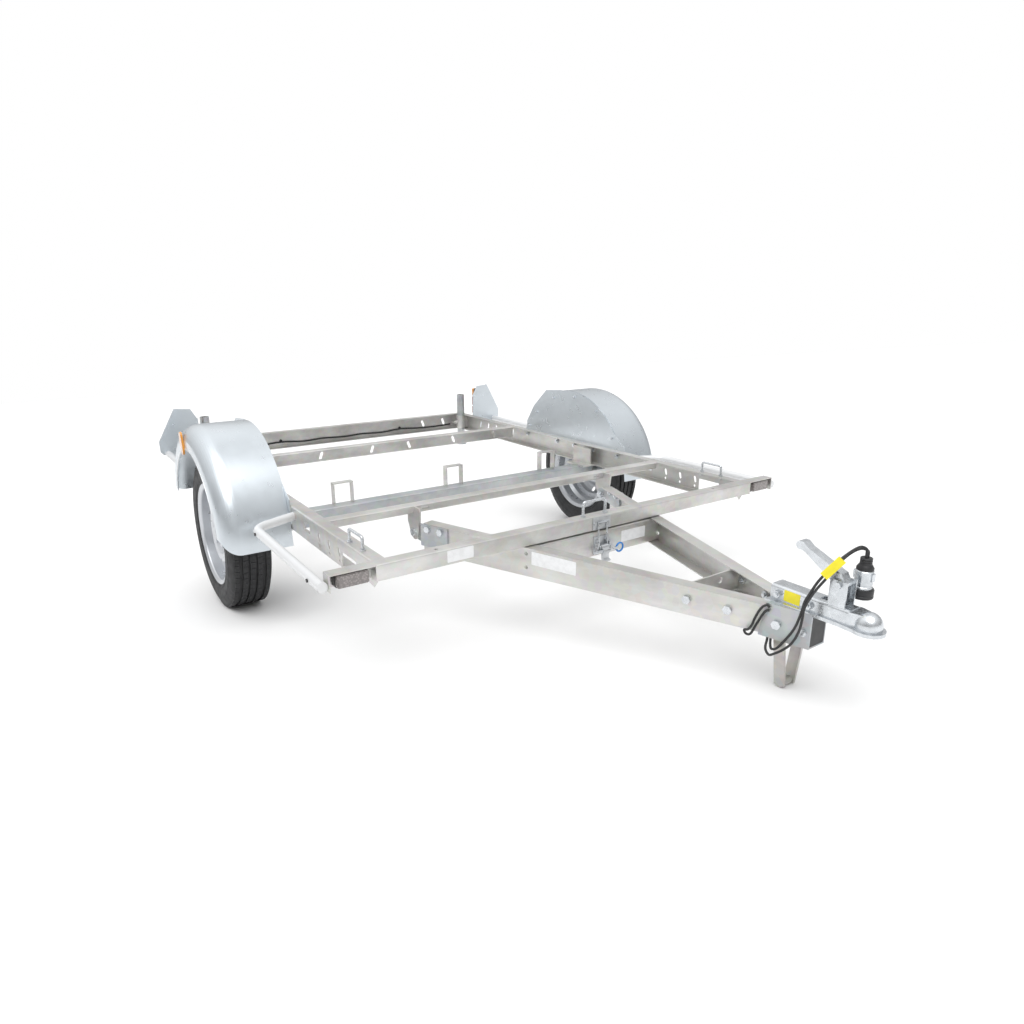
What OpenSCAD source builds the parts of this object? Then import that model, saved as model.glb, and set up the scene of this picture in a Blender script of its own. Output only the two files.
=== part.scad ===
// Tilting single-axle trailer chassis, resting on its wheels and its prop stand.
// The chassis is drawn level, with X forward, Y to the left and the bed's top face at Z = 0,
// and is then set down on the ground with its nose a little low.

/* [Bed frame] */
// Length of the bed, front face to rear face
frame_l = 2050; // [1800:10:2400]
// Width over the outside faces of the side rails
rails_w = 1484; // [1400:4:1600]
// Width of a corner lamp bracket, outboard of the rail
corner_w = 128; // [120:1:136]
// Height of the side rails and the rear beam
rail_h = 85; // [75:1:95]
// Height of the front beam
front_h = 46; // [40:1:52]
// Height of the slotted cross member
slot_member_h = 52; // [48:1:60]
// Height of the cross member that carries the drawbar pivots
pivot_member_h = 26; // [24:1:34]
// Width of the channel flanges
flange_w = 40; // [32:1:50]
// Thickness of the folded channel steel
steel_t = 3; // [2.5:0.5:4]
// Inside radius of the folds
fold_r = 2.5; // [2:0.5:4]
// From the front face back to the slotted cross member
slot_member_x = 1460; // [1440:10:1560]
// From the front face back to the pivot cross member
pivot_member_x = 430; // [400:5:480]
// Length of the slanted slots
slot_l = 38; // [30:1:42]
// Width of the slanted slots
slot_w = 14; // [10:1:16]
// Spacing of the slots along a side rail
rail_slot_step = 78; // [70:1:90]

/* [Axle and wheels] */
// From the front face back to the wheel centres
wheel_x = 1025; // [1000:5:1060]
// Depth of the wheel centres below the bed's top face
wheel_drop = 163; // [150:1:175]
// Side of the square axle tube
axle_tube_w = 60; // [50:1:70]
// Length of the trailing arms, pivot to spindle
arm_l = 135; // [125:1:145]
// From a rail's outside face to the middle plane of its tyre
wheel_out = 113; // [108:1:118]
// Outside radius of the tyres
tyre_r = 270; // [262:1:276]
// Width of the tyres over the tread
tyre_w = 146; // [135:1:150]
// Radius of the rim flanges
rim_r = 184; // [180:1:186]
// Pitch circle of the wheel bolts
wheel_pcd = 100; // [98:1:112]
// Number of wheel bolts
wheel_bolts_n = 4; // [4:1:5]

/* [Mudguards and side guards] */
// Inside radius of the mudguard arch
guard_r = 388; // [380:1:400]
// Width of a mudguard across the wheel
guard_w = 215; // [205:1:225]
// Radius of the mudguard's outer shoulder
shoulder_r = 58; // [45:1:70]
// Thickness of the mudguard sheet
guard_t = 2; // [1.5:0.5:3]
// Diameter of the side guard tubes
hoop_d = 28; // [24:1:32]

/* [Drawbar] */
// Height of the drawbar beams
drawbar_h = 87; // [82:1:90]
// Half the angle between the drawbar beams
drawbar_angle = 19; // [16:0.5:22]
// From the bed's front face to the back of the coupling sleeve
sleeve_x = 655; // [600:5:700]
// Length of the coupling sleeve
sleeve_l = 107; // [100:1:116]
// Width of the coupling sleeve at the back
sleeve_w = 110; // [108:1:116]
// Width of the coupling sleeve at the front
nose_w = 62; // [58:1:70]
// Height of the coupling sleeve
sleeve_h = 86; // [84:1:92]
// From the bed's front face to the centre of the coupling ball socket
ball_x = 874; // [850:2:900]
// Radius of the ball socket
ball_r = 25.4; // [25.2:0.1:25.8]
// Depth of the prop stand's foot below the bed's top face
stand_drop = 256; // [240:1:270]

/* [Tilt] */
// Radius of the pivot bolts
pivot_r = 8; // [6:0.5:9]

/* [Clearances] */
// Radial clearance of a running fit
run_gap = 0.05; // [0.03:0.01:0.08]
// Gap between faces of pieces that move past each other
side_gap = 0.5; // [0.4:0.1:1]

/* [Hidden] */
$fn = 48;
galvanised = "#b8bdbf";
silver_paint = "#c9d2d8";
eps = 0.01;

// Places worked out from the sizes above
rail_y = rails_w / 2;
pad_t = 8;
axle_z = -rail_h - pad_t - axle_tube_w / 2;
arm_angle = asin((wheel_drop + axle_z) / arm_l);
axle_x = wheel_x - arm_l * cos(arm_angle);
wheel_y = rail_y + wheel_out;
guard_x = wheel_x + 20;
nose_y = 51;
beam_top = -front_h - 1.5;
pivot_z = beam_top - drawbar_h / 2 + 3;
foot_r = 10;
foot_x = sleeve_x + 0.365 * sleeve_l;

// How far the nose is down when the tyres and the foot both touch the ground
reach_x = wheel_x + foot_x;
reach_z = stand_drop - foot_r - wheel_drop;
pitch = asin((tyre_r - foot_r) / norm([reach_x, reach_z])) - atan2(reach_z, reach_x);
lift = tyre_r - wheel_x * sin(pitch) + wheel_drop * cos(pitch);

// The ends that set the middle of the whole length
head_z = -25;
dome_r = 29;
skirt_r = 36;
sleeve_top = -38;
front_end = (ball_x + skirt_r) * cos(pitch) + (sleeve_top + 4) * sin(pitch);
rear_end = -frame_l * cos(pitch) - rail_h * sin(pitch);
shift = -(front_end + rear_end) / 2;

module grounded() translate([shift, 0, lift]) rotate([0, pitch, 0]) children();

// Sweeps of a drawn section: along X the section lies in YZ, along Y it lies in XZ
module along_x(l) rotate([90, 0, 90]) linear_extrude(l) children();
module along_y(l) translate([0, l / 2, 0]) rotate([90, 0, 0]) linear_extrude(l) children();
module both_sides() {
    children();
    mirror([0, 1, 0]) children();
}

module rounded(w, h, r) {
    translate([r, 0]) square([w - 2 * r, h]);
    translate([0, r]) square([w, h - 2 * r]);
    for (x = [r, w - r], y = [r, h - r]) translate([x, y]) circle(r, $fn = 24);
}

// Channel section with its web at x = 0, flanges towards +x and its top at y = 0
module channel_section(h, w, t) {
    outer = fold_r + t;
    difference() {
        intersection() {
            translate([0, -h]) rounded(w + 2 * outer, h, outer);
            translate([0, -h]) square([w, h]);
        }
        translate([t, t - h]) rounded(w + 2 * outer, h - 2 * t, fold_r);
    }
}

module oval(l, w) {
    square([w, l - w], center = true);
    for (s = [-1, 1]) translate([0, s * (l - w) / 2]) circle(w / 2, $fn = 24);
}

// A slot cut through a web that faces along X or along Y
module slot_x(lean) rotate([lean, 0, 0]) rotate([90, 0, 90])
    linear_extrude(4 * steel_t, center = true) oval(slot_l, slot_w);
module slot_y(lean, l = slot_l, w = slot_w) rotate([0, lean, 0]) rotate([90, 0, 0])
    linear_extrude(4 * steel_t, center = true) oval(l, w);

module hex_head(af, h) cylinder(h = h, r = af / sqrt(3), $fn = 6);
module bolt(d, grip) {
    head = 0.65 * d;
    translate([0, 0, -head]) hex_head(1.7 * d, head);
    translate([0, 0, -eps]) cylinder(h = grip + 1.2 * d, r = d / 2 - 0.2, $fn = 24);
    translate([0, 0, grip]) hex_head(1.7 * d, 0.8 * d);
}

// A round bar that follows points in the XY plane, with bends of one radius
function unit(v) = v / norm(v);
function turn(a, b) = atan2(a[0] * b[1] - a[1] * b[0], a * b);
function cut_back(p, i, r) = (i == 0 || i == len(p) - 1) ? 0
    : r * abs(tan(turn(unit(p[i] - p[i - 1]), unit(p[i + 1] - p[i])) / 2));
module bent_bar(p, d, r) {
    for (i = [0 : len(p) - 2]) {
        u = unit(p[i + 1] - p[i]);
        a = p[i] + u * cut_back(p, i, r);
        l = norm(p[i + 1] - p[i]) - cut_back(p, i, r) - cut_back(p, i + 1, r);
        translate([a[0], a[1], 0]) rotate([0, 0, atan2(u[1], u[0])]) rotate([0, 90, 0])
            translate([0, 0, -0.4]) cylinder(h = l + 0.8, r = d / 2, $fn = 32);
    }
    for (i = [1 : len(p) - 2]) {
        u = unit(p[i] - p[i - 1]);
        t = turn(u, unit(p[i + 1] - p[i]));
        s = t > 0 ? 1 : -1;
        a = p[i] - u * cut_back(p, i, r);
        c = a + s * r * [-u[1], u[0]];
        start = atan2(a[1] - c[1], a[0] - c[0]);
        translate([c[0], c[1], 0]) rotate([0, 0, s > 0 ? start : start + t])
            rotate_extrude(angle = abs(t), $fn = 72) translate([r, 0]) circle(d / 2 + 0.06, $fn = 32);
    }
}

// Bed frame
slot_ys = [95, 340, 580];
rear_slot_ys = [483, 615];
grommet_y = 335;
grommet_r = 8;
rail_start = flange_w;
rail_end = frame_l - flange_w;
rail_slot_front = 256;
rail_slot_rear = slot_member_x + 55;
window_x = 517;
drain_r = 5;
member_half = rail_y - flange_w;
loop_w = 90;
loop_rod = 9;
loop_y = 2;
side_loop_x = 168;
side_loop_y = rail_y - 16;

module front_beam() color(galvanised) difference() {
    along_y(rails_w) mirror([1, 0]) channel_section(front_h, flange_w, steel_t);
    for (s = [-1, 1]) translate([-20, s * loop_w / 2 + loop_y, 0])
        cylinder(h = 4 * steel_t, r = loop_rod / 2 + 0.3, center = true);
    for (s = [-1, 1]) translate([-20, s * 560, 0]) cylinder(h = 4 * steel_t, r = 5.5, center = true);
}

module rear_beam() color(galvanised) difference() {
    translate([-frame_l, 0, 0]) along_y(rails_w) channel_section(rail_h, flange_w, steel_t);
    for (s = [-1, 1]) {
        for (y = rear_slot_ys) translate([-frame_l, s * y, -rail_h / 2]) slot_x(20);
        translate([-frame_l, s * grommet_y, -rail_h / 2 - 10]) rotate([0, 90, 0])
            cylinder(h = 4 * steel_t, r = grommet_r, center = true);
        translate([-frame_l + 20, s * 560, 0]) cylinder(h = 4 * steel_t, r = 5.5, center = true);
    }
}

module side_rail() color(galvanised) difference() {
    translate([-rail_end, 0, 0]) along_x(rail_end - rail_start)
        translate([rail_y, 0]) mirror([1, 0]) channel_section(rail_h, flange_w, steel_t);
    for (i = [0 : 2]) {
        translate([-rail_slot_front - i * rail_slot_step, rail_y, -rail_h / 2 + 2])
            slot_y(-15, 0.7 * slot_l, slot_w - 2);
        translate([-slot_member_x - 215 - i * rail_slot_step, rail_y, -rail_h / 2]) slot_y(15);
        translate([-rail_slot_front - i * rail_slot_step, rail_y, -rail_h + 18]) rotate([90, 0, 0])
            cylinder(h = 4 * steel_t, r = drain_r, center = true, $fn = 24);
    }
    translate([-rail_slot_rear, rail_y, -rail_h / 2]) slot_y(15);
    translate([-window_x, rail_y, -rail_h / 2 + 6]) cube([48, 4 * steel_t, 34], center = true);
    // Lightening hole behind the corner bracket, and the sloped lower corner ahead of it
    translate([-187, rail_y + 2 * steel_t, -rail_h / 2]) rotate([90, 0, 0])
        linear_extrude(4 * steel_t) polygon([[-49, 9], [49, 9], [49, -8], [-49, -35]]);
    translate([0, rail_y + 1, 0]) rotate([90, 0, 0]) linear_extrude(flange_w + 2)
        polygon([[-rail_start + 1, -front_h - 4], [-rail_start + 1, -rail_h - 1],
            [-rail_start - 95, -rail_h - 1]]);
    for (s = [-1, 1]) translate([-side_loop_x + s * loop_w / 2, side_loop_y, 0])
        cylinder(h = 4 * steel_t, r = loop_rod / 2 + 0.3, center = true);
    translate([leg_x, leg_y, -rail_h - 1]) cylinder(h = rail_h + 2, r = leg_r + 1.5);
    for (x = rail_bolt_xs) translate([x, rail_y, rail_bolt_z]) rotate([90, 0, 0])
        cylinder(h = 4 * steel_t, r = 5.5, center = true, $fn = 24);
}
module side_rail_left() side_rail();
module side_rail_right() mirror([0, 1, 0]) side_rail();

module slotted_cross_member() color(galvanised) difference() {
    translate([-slot_member_x, 0, 0]) along_y(2 * member_half)
        mirror([1, 0]) channel_section(slot_member_h, flange_w, steel_t);
    for (s = [-1, 1], y = slot_ys)
        translate([-slot_member_x, s * y, -slot_member_h / 2]) slot_x(20 * s);
}

module pivot_cross_member() color(galvanised) difference() {
    translate([-pivot_member_x, 0, 0]) along_y(2 * member_half)
        mirror([1, 0]) channel_section(pivot_member_h, flange_w, steel_t);
    for (s = [-1, 1]) translate([-pivot_member_x, s * 373, -pivot_member_h / 2])
        cube([4 * steel_t, 26, 7], center = true);
}

// Plates that hang from the pivot cross member and hold the drawbar's pivot bolts
bracket_t = 6;
ear_t = 6;
bend_x = -pivot_member_x + 36;
ear_y = drawbar_y(bend_x) - steel_t / cos(drawbar_angle);
bracket_y = ear_y + side_gap;
pivot_eye_r = 26;
function drawbar_y(x) = nose_y + (sleeve_x - x) * tan(drawbar_angle);

module pivot_brackets() color(galvanised) both_sides() {
    translate([-pivot_member_x, bracket_y + bracket_t, 0]) rotate([90, 0, 0])
        difference() {
            linear_extrude(bracket_t) {
                polygon([[0, -2], [34, -2], [40, -12], [30, pivot_z], [-30, pivot_z],
                    [-flange_w - 4, pivot_z + 28], [-flange_w - 4, -pivot_member_h - 0.1],
                    [0, -pivot_member_h - 0.1]]);
                translate([0, pivot_z]) circle(pivot_eye_r);
            }
            translate([0, pivot_z, -1]) cylinder(h = bracket_t + 2, r = pivot_r + run_gap);
        }
}

module pivot_bolts() color("#cfd3d4") both_sides()
    translate([-pivot_member_x, bracket_y + bracket_t, pivot_z]) rotate([90, 0, 0]) {
        translate([0, 0, -9]) hex_head(24, 9);
        translate([0, 0, -eps]) cylinder(h = bracket_t + ear_t + side_gap + 16, r = pivot_r);
        translate([0, 0, bracket_t + ear_t + 2 * side_gap]) hex_head(24, 11);
    }

// Flat strips bent into arches that stand on the axle tube and carry the floor
support_ys = [-466, 15, 498];
support_top = -11;
module floor_supports() color(galvanised) for (y = support_ys)
    translate([-axle_x - 28, y, 0]) along_x(28) difference() {
        foot = axle_z + axle_tube_w / 2;
        translate([-39, foot]) square([78, support_top - foot]);
        translate([-35, foot - 1]) square([70, support_top - foot - 3]);
    }

arm_shaft_r = 20;
module axle_tube() color(galvanised) translate([-axle_x, 0, axle_z]) difference() {
    union() {
        along_y(rails_w - 6) difference() {
            translate([-axle_tube_w / 2, -axle_tube_w / 2]) rounded(axle_tube_w, axle_tube_w, 6);
            translate([5 - axle_tube_w / 2, 5 - axle_tube_w / 2])
                rounded(axle_tube_w - 10, axle_tube_w - 10, 3);
        }
        for (s = [-1, 1]) translate([0, s * (rail_y - 3 - 40), 0])
            cube([axle_tube_w - 8, 80, axle_tube_w - 8], center = true);
    }
    rotate([90, 0, 0]) cylinder(h = rails_w, r = arm_shaft_r + run_gap, center = true);
}

// Pads between the rails and the axle tube, with plates that bolt inside the rails
plate_t = 6;
module axle_brackets() color(galvanised) both_sides() {
    translate([-axle_x - 60, rail_y - flange_w - 45, -rail_h - pad_t])
        cube([120, flange_w + 45, pad_t]);
    translate([-axle_x - 60, rail_y - flange_w - plate_t, -rail_h - eps])
        cube([120, plate_t, rail_h - 12]);
    translate([-axle_x - axle_tube_w / 2 - plate_t, rail_y - flange_w - 45, axle_z - 14])
        cube([plate_t, 40, -rail_h - axle_z + 14]);
}

// Corner brackets: open boxes outboard of the rails that shelter the marker lamps
corner_h = front_h;
corner_d = 38;
lens_w = corner_w - 38;
lens_h = 40;
module corner_lamp_brackets() color(galvanised) both_sides() translate([-corner_d, rail_y, -corner_h])
    difference() {
        cube([corner_d, corner_w, corner_h]);
        translate([steel_t, steel_t, -1]) cube([corner_d, corner_w - 2 * steel_t, corner_h - steel_t + 1]);
        translate([-1, corner_w / 2, corner_h / 2]) rotate([0, 90, 0]) cylinder(h = 2 * steel_t, r = 4);
    }

module marker_lamps() both_sides()
    translate([-corner_d + steel_t, rail_y + corner_w / 2, -lens_h / 2 - steel_t - 0.5]) rotate([90, 0, 90]) {
        color("#2a2a2c") translate([-lens_w / 2, -lens_h / 2, 0]) linear_extrude(20)
            rounded(lens_w, lens_h, 9);
        color("#d8d6da") translate([-lens_w / 2 + 2, -lens_h / 2 + 2, 20 - eps])
            linear_extrude(16) rounded(lens_w - 4, lens_h - 4, 8);
    }

// Pointed tabs below the front beam at the rail ends
module corner_gussets() color(galvanised) both_sides() translate([-rail_start + 0.3, 0, 0]) along_x(4)
    polygon([[rail_y - 28, -front_h], [rail_y + 15, -front_h], [rail_y - 6, -front_h - 28]]);

// Mudguards: a sheet arch round each wheel with a deep outer shoulder and a rolled lip
guard_in = rail_y + 3.3;
guard_lip = 22;
guard_start = 4;
guard_end = 168;
guard_corner = 55;
function arc(cx, cy, r, a0, a1, n) = [for (i = [0 : n]) let (a = a0 + (a1 - a0) * i / n)
    [cx + r * cos(a), cy + r * sin(a)]];
module guard_section(r, w, t) {
    rs = shoulder_r;
    polygon(concat([[r, 0], [r + t, 0]], arc(r - rs, w - rs, rs + t, 0, 90, 12),
        [[r - rs - guard_lip, w + t], [r - rs - guard_lip - 2, w + t - 1],
            [r - rs - guard_lip - 2, w - 2.5], [r - rs - guard_lip, w - 2.5],
            [r - rs - guard_lip, w]], arc(r - rs, w - rs, rs, 90, 0, 12)));
}
// What is cut away for the rounded outer corner at an end of the arch
module corner_cut(a, s) rotate([0, 0, a])
    translate([guard_r - 110, 0, guard_w + guard_t - guard_corner]) rotate([0, 90, 0])
        linear_extrude(130) difference() {
            mirror([0, (1 - s) / 2, 0]) translate([-guard_corner - 1, -1])
                square([guard_corner + 1, guard_corner + 1]);
            translate([0, s * guard_corner]) circle(guard_corner);
        }
module mudguard() color(silver_paint) translate([-guard_x, guard_in, -wheel_drop])
    rotate([90, 0, 0]) rotate([0, 0, guard_start]) mirror([0, 0, 1]) difference() {
        rotate_extrude(angle = guard_end - guard_start, $fn = 180)
            guard_section(guard_r, guard_w, guard_t);
        corner_cut(0, 1);
        corner_cut(guard_end - guard_start, -1);
    }
module mudguard_left() mudguard();
module mudguard_right() mirror([0, 1, 0]) mudguard();

rail_bolt_xs = [for (x = [345, 182, 45, -85, -330]) x * guard_r / 388 - guard_x];
rail_bolt_z = -26;

// Flat plates that close the inner side of each mudguard above the rail
plate_low = wheel_drop - rail_h + 20;
plate_points = [[-343, plate_low], [-343, 204], [-284, 289], [-186, 375], [-76, 386], [29, 387],
    [102, 367], [209, 302], [299, 237], [379, 182], [379, plate_low]];
module mudguard_plates() color(silver_paint) both_sides()
    translate([-guard_x, rail_y + 3, -wheel_drop]) rotate([90, 0, 0]) linear_extrude(3)
        difference() {
            union() {
                polygon([for (p = plate_points) [p[0] * guard_r / 388, p[1]]]);
                intersection() {
                    circle(guard_r - 0.3, $fn = 180);
                    translate([-343, plate_low]) square([686, guard_r]);
                }
            }
            for (x = rail_bolt_xs) translate([x + guard_x, rail_bolt_z + wheel_drop]) circle(5.3);
        }

module frame_bolts() color("#cfd3d4") both_sides() for (x = rail_bolt_xs)
    translate([x, rail_y + 3, rail_bolt_z]) rotate([90, 0, 0]) bolt(10, steel_t + 3);

// Side guard tubes ahead of and behind the wheels
hoop_z = -30;
hoop_y = rail_y + corner_w + hoop_d / 2 + 0.1;
hoop_front = guard_x - guard_r - 17;
hoop_rear = guard_x + guard_r + 7;
hoop_bend = 70;
fairing_t = 3;
housing_x = frame_l - 130;
module side_guards() color("#eceeee") both_sides() difference() {
    translate([0, 0, hoop_z]) {
        bent_bar([[-hoop_front - 4.6, rail_y - 10], [65 - hoop_front, hoop_y], [-8, hoop_y]],
            hoop_d, hoop_bend);
        bent_bar([[-hoop_rear + 4.2, rail_y - 10], [-hoop_rear - 60, hoop_y],
            [-housing_x + fairing_t + 0.5, hoop_y]], hoop_d, hoop_bend);
    }
    translate([-frame_l, 0, hoop_z - 50]) cube([frame_l, rail_y, 100]);
}

// Rear lamp housings: upright sheets outboard of the rails, with the lamps on their rear faces
module rear_lamp_housings() color(silver_paint) both_sides() translate([-housing_x, 0, 0]) {
    along_x(fairing_t) polygon([[rail_y, -80], [rail_y, 118], [rail_y + 3, 118],
        [rail_y + 28, 163], [rail_y + 95, 169], [hoop_y + 33, 23], [hoop_y + 32, -20],
        [hoop_y + 21, -32], [rail_y + 93, -58], [rail_y + 58, -80]]);
    translate([-11, 0, 0]) along_x(12)
        polygon([[rail_y + 95, 169], [hoop_y + 33, 23], [hoop_y + 30, 22.5], [rail_y + 92.6, 166.4]]);
    translate([0, rail_y, 15 - rail_h]) cube([45, fairing_t, rail_h - 20]);
}
lamp_y = rail_y + 54;
module rear_lamps() both_sides() translate([-housing_x, lamp_y, 76]) {
    color("#26262a") rotate([90, 0, -90]) linear_extrude(20)
        translate([-34, -76]) rounded(68, 150, 10);
    color("#a01822") translate([-20 + eps, 0, 0]) rotate([90, 0, -90]) linear_extrude(25)
        translate([-32, -74]) rounded(64, 146, 10);
}

module side_reflectors() color("#e08a3c") both_sides() {
    a = 100;
    translate([-guard_x, guard_in + guard_w + guard_t, -wheel_drop])
        rotate([0, -a, 0]) translate([guard_r - shoulder_r - 2, 0, 0]) rotate([-90, 0, 0])
            linear_extrude(7) rotate(90) oval(80, 32);
}

// Rod loops for lashings, with a collar above each flange and a nut below
module loop_rods(w, h) {
    translate([0, -w / 2, 0]) rotate([90, 0, 90])
        bent_bar([[0, -14], [0, h], [w, h], [w, -14]], loop_rod - 0.4, 8);
    for (y = [-w / 2, w / 2]) translate([0, y, 0]) {
        translate([0, 0, 0.05]) cylinder(h = 5, r = 8);
        translate([0, 0, -steel_t - 7.05]) hex_head(15, 7);
    }
}
module tie_down_loops() color("#dfe2e3") {
    translate([-20, loop_y, 0]) loop_rods(loop_w, 46);
    both_sides() translate([-side_loop_x, side_loop_y, 0]) rotate([0, 0, 90])
        loop_rods(loop_w, 38);
}

// Catch on the front beam's face: a small angle with an upturned lip
catch_z = -22.5;
module latch_catch() color("#c8cccd") translate([0, -21, 0]) {
    translate([0, 0, -front_h + 3]) cube([3, 72, front_h - 6]);
    translate([0, 25, catch_z - 3]) cube([8.5, 22, 3]);
    for (y = [8, 64]) translate([3, y, -front_h / 2]) rotate([0, 90, 0]) hex_head(10, 4);
}

// Rear legs: tubes that slide in collars held between the flanges of the side rails
leg_r = 21;
leg_l = 280;
leg_x = -frame_l + 65;
leg_y = rail_y - 42;
leg_foot_r = 30;
leg_top = 113;
clamp_h = rail_h - 2 * steel_t - 2 * fold_r - 2;
module leg_clamps() color(galvanised) both_sides()
    translate([leg_x, leg_y, -rail_h / 2 - clamp_h / 2]) {
        difference() {
            union() {
                cylinder(h = clamp_h, r = leg_r + 5);
                translate([-14, 0, 0]) cube([28, rail_y - steel_t - leg_y, clamp_h]);
            }
            translate([0, 0, -1]) cylinder(h = clamp_h + 2, r = leg_r + run_gap);
        }
        translate([0, -leg_r - 4.6, clamp_h / 2]) rotate([90, 0, 0]) {
            hex_head(19, 12);
            translate([0, 0, 12 - eps]) cylinder(h = 10, r = 5);
            translate([0, 0, 18]) rotate([0, 90, 0]) cylinder(h = 60, r = 4, center = true);
        }
    }
module rear_leg() color("#c3c8ca") translate([leg_x, leg_y, leg_top - leg_l]) {
    difference() {
        cylinder(h = leg_l, r = leg_r);
        translate([0, 0, 6]) cylinder(h = leg_l, r = leg_r - 3);
    }
    translate([0, 0, -6]) cylinder(h = 6 + eps, r = leg_foot_r);
}
module rear_leg_left() rear_leg();
module rear_leg_right() mirror([0, 1, 0]) rear_leg();

// Wiring under the bed
function sub(p, i) = p[max(0, min(len(p) - 1, i))];
function knot(p, i, t) = 0.5 * (2 * sub(p, i) + (sub(p, i + 1) - sub(p, i - 1)) * t
    + (2 * sub(p, i - 1) - 5 * sub(p, i) + 4 * sub(p, i + 1) - sub(p, i + 2)) * t * t
    + (3 * sub(p, i) - sub(p, i - 1) - 3 * sub(p, i + 1) + sub(p, i + 2)) * t * t * t);
function smooth(p, n) = [for (i = [0 : len(p) - 2]) for (k = [0 : n - 1]) knot(p, i, k / n),
    p[len(p) - 1]];
function ring(p, i, d, sides, ref) =
    let (t = unit(sub(p, i + 1) - sub(p, i - 1)), u = unit(cross(t, ref)), v = cross(t, u))
    [for (k = [0 : sides - 1]) p[i] + d / 2 * (cos(360 * k / sides) * u + sin(360 * k / sides) * v)];
module cord(path, d, ref, n = 3, sides = 10) {
    p = smooth(path, n);
    m = len(p);
    pts = [for (i = [0 : m - 1]) each ring(p, i, d, sides, ref)];
    faces = concat([[for (k = [0 : sides - 1]) k]],
        [for (i = [0 : m - 2]) for (k = [0 : sides - 1])
            [i * sides + k, (i + 1) * sides + k, (i + 1) * sides + (k + 1) % sides]],
        [for (i = [0 : m - 2]) for (k = [0 : sides - 1])
            [i * sides + k, (i + 1) * sides + (k + 1) % sides, i * sides + (k + 1) % sides]],
        [[for (k = [0 : sides - 1]) m * sides - 1 - k]]);
    polyhedron(pts, faces);
}

harness_x = -frame_l + steel_t + 4.3;
harness_path = [for (p = [[-660, -62], [-560, -66], [-440, -64], [-335, -58], [-220, -66], [-110, -62],
    [0, -66], [110, -62], [220, -66], [335, -58], [440, -64], [560, -66], [660, -62]])
    [harness_x, p[0], p[1]]];
module bed_harness() color("#1c1c1e") cord(harness_path, 8, [0, 0, 1], 2);

module rubber_plugs() color("#1c1c1e") both_sides() {
    translate([-frame_l, grommet_y, -rail_h / 2 - 10]) rotate([0, 90, 0]) difference() {
        union() {
            translate([0, 0, -1.5]) cylinder(h = 1.5, r = grommet_r + 4);
            translate([0, 0, -eps]) cylinder(h = steel_t, r = grommet_r - 0.3);
        }
        translate([0, 0, -6]) cylinder(h = steel_t + 5, r = 4);
    }
    for (x = [-520, -75]) translate([x, hoop_y + hoop_d / 2 + 0.05, hoop_z])
        rotate([-90, 0, 0]) cylinder(h = 3, r = 5, $fn = 24);
}

// Wheels and their trailing arms
spindle_r = 14;
face_y = 30;
module swing_arm() color("#b4b9bb") {
    translate([-axle_x, rail_y - 3 - 76, axle_z]) rotate([-90, 0, 0])
        cylinder(h = 76 + 3 + side_gap + 1, r = arm_shaft_r);
    translate([0, rail_y + side_gap, 0]) rotate([90, 0, 0]) mirror([0, 0, 1])
        linear_extrude(26) {
            translate([-axle_x, axle_z]) circle(30);
            translate([-wheel_x, -wheel_drop]) circle(26);
            translate([-axle_x, axle_z]) rotate(180 + arm_angle) translate([0, -22])
                square([arm_l, 44]);
        }
    translate([-wheel_x, rail_y + 20, -wheel_drop]) rotate([-90, 0, 0])
        cylinder(h = wheel_y + face_y - 12 - rail_y - 20, r = spindle_r);
}
module swing_arm_left() swing_arm();
module swing_arm_right() mirror([0, 1, 0]) swing_arm();

module wheel_place() translate([-wheel_x, wheel_y, -wheel_drop]) rotate([-90, 0, 0]) children();
hub_back = wheel_y - rail_y - side_gap - 26 - side_gap;
module hub() color("#a9adae") wheel_place() difference() {
    union() {
        translate([0, 0, -hub_back]) cylinder(h = hub_back + face_y - 10, r = 36);
        translate([0, 0, face_y - 12]) cylinder(h = 12, r = 64);
        translate([0, 0, face_y - eps]) cylinder(h = 6, r = 28.4);
        translate([0, 0, face_y + 5]) cylinder(h = 20, r1 = 26, r2 = 24);
    }
    translate([0, 0, -hub_back - 1]) cylinder(h = hub_back + face_y - 10, r = spindle_r + run_gap);
    for (i = [1 : wheel_bolts_n]) rotate([0, 0, (i + 0.5) * 360 / wheel_bolts_n])
        translate([wheel_pcd / 2, 0, face_y - 13]) cylinder(h = 14, r = 6.2);
}
module hub_left() hub();
module hub_right() mirror([0, 1, 0]) hub();

half_rim = 62;
module rim() color("#cfd3d6") wheel_place() difference() {
    rotate_extrude($fn = 120) polygon([[rim_r, half_rim + 4], [rim_r - 3, half_rim + 6],
        [rim_r - 15, half_rim], [rim_r - 17, half_rim - 4], [rim_r - 19, 26], [rim_r - 24, 22],
        [rim_r - 34, 20], [128, 22], [118, 34], [104, 44], [90, 46], [78, 43], [68, face_y + 3.4],
        [28.6, face_y + 3.4], [28.6, face_y], [70, face_y], [81, 39], [91, 42.4], [102, 40.6],
        [114, 31], [125, 18.6], [rim_r - 37, 16], [rim_r - 37, -8], [rim_r - 24, -22],
        [rim_r - 22, -half_rim + 4], [rim_r - 18, -half_rim - 3], [rim_r - 3, -half_rim - 9],
        [rim_r, -half_rim - 4], [rim_r - 14, -half_rim + 2], [rim_r - 18, -half_rim + 6],
        [rim_r - 20.6, -24], [rim_r - 34, -10], [rim_r - 34, 15], [rim_r - 30, 18],
        [rim_r - 22, 19], [rim_r - 16, 25], [rim_r - 14, half_rim - 6], [rim_r - 12, half_rim - 2]]);
    for (i = [1 : wheel_bolts_n]) rotate([0, 0, (i + 0.5) * 360 / wheel_bolts_n])
        translate([wheel_pcd / 2, 0, face_y - 1]) cylinder(h = 12, r = 6.6);
    for (i = [1 : 8]) rotate([0, 0, i * 45]) translate([108, 0, 10]) cylinder(h = 50, r = 11);
}
module rim_left() rim();
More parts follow.
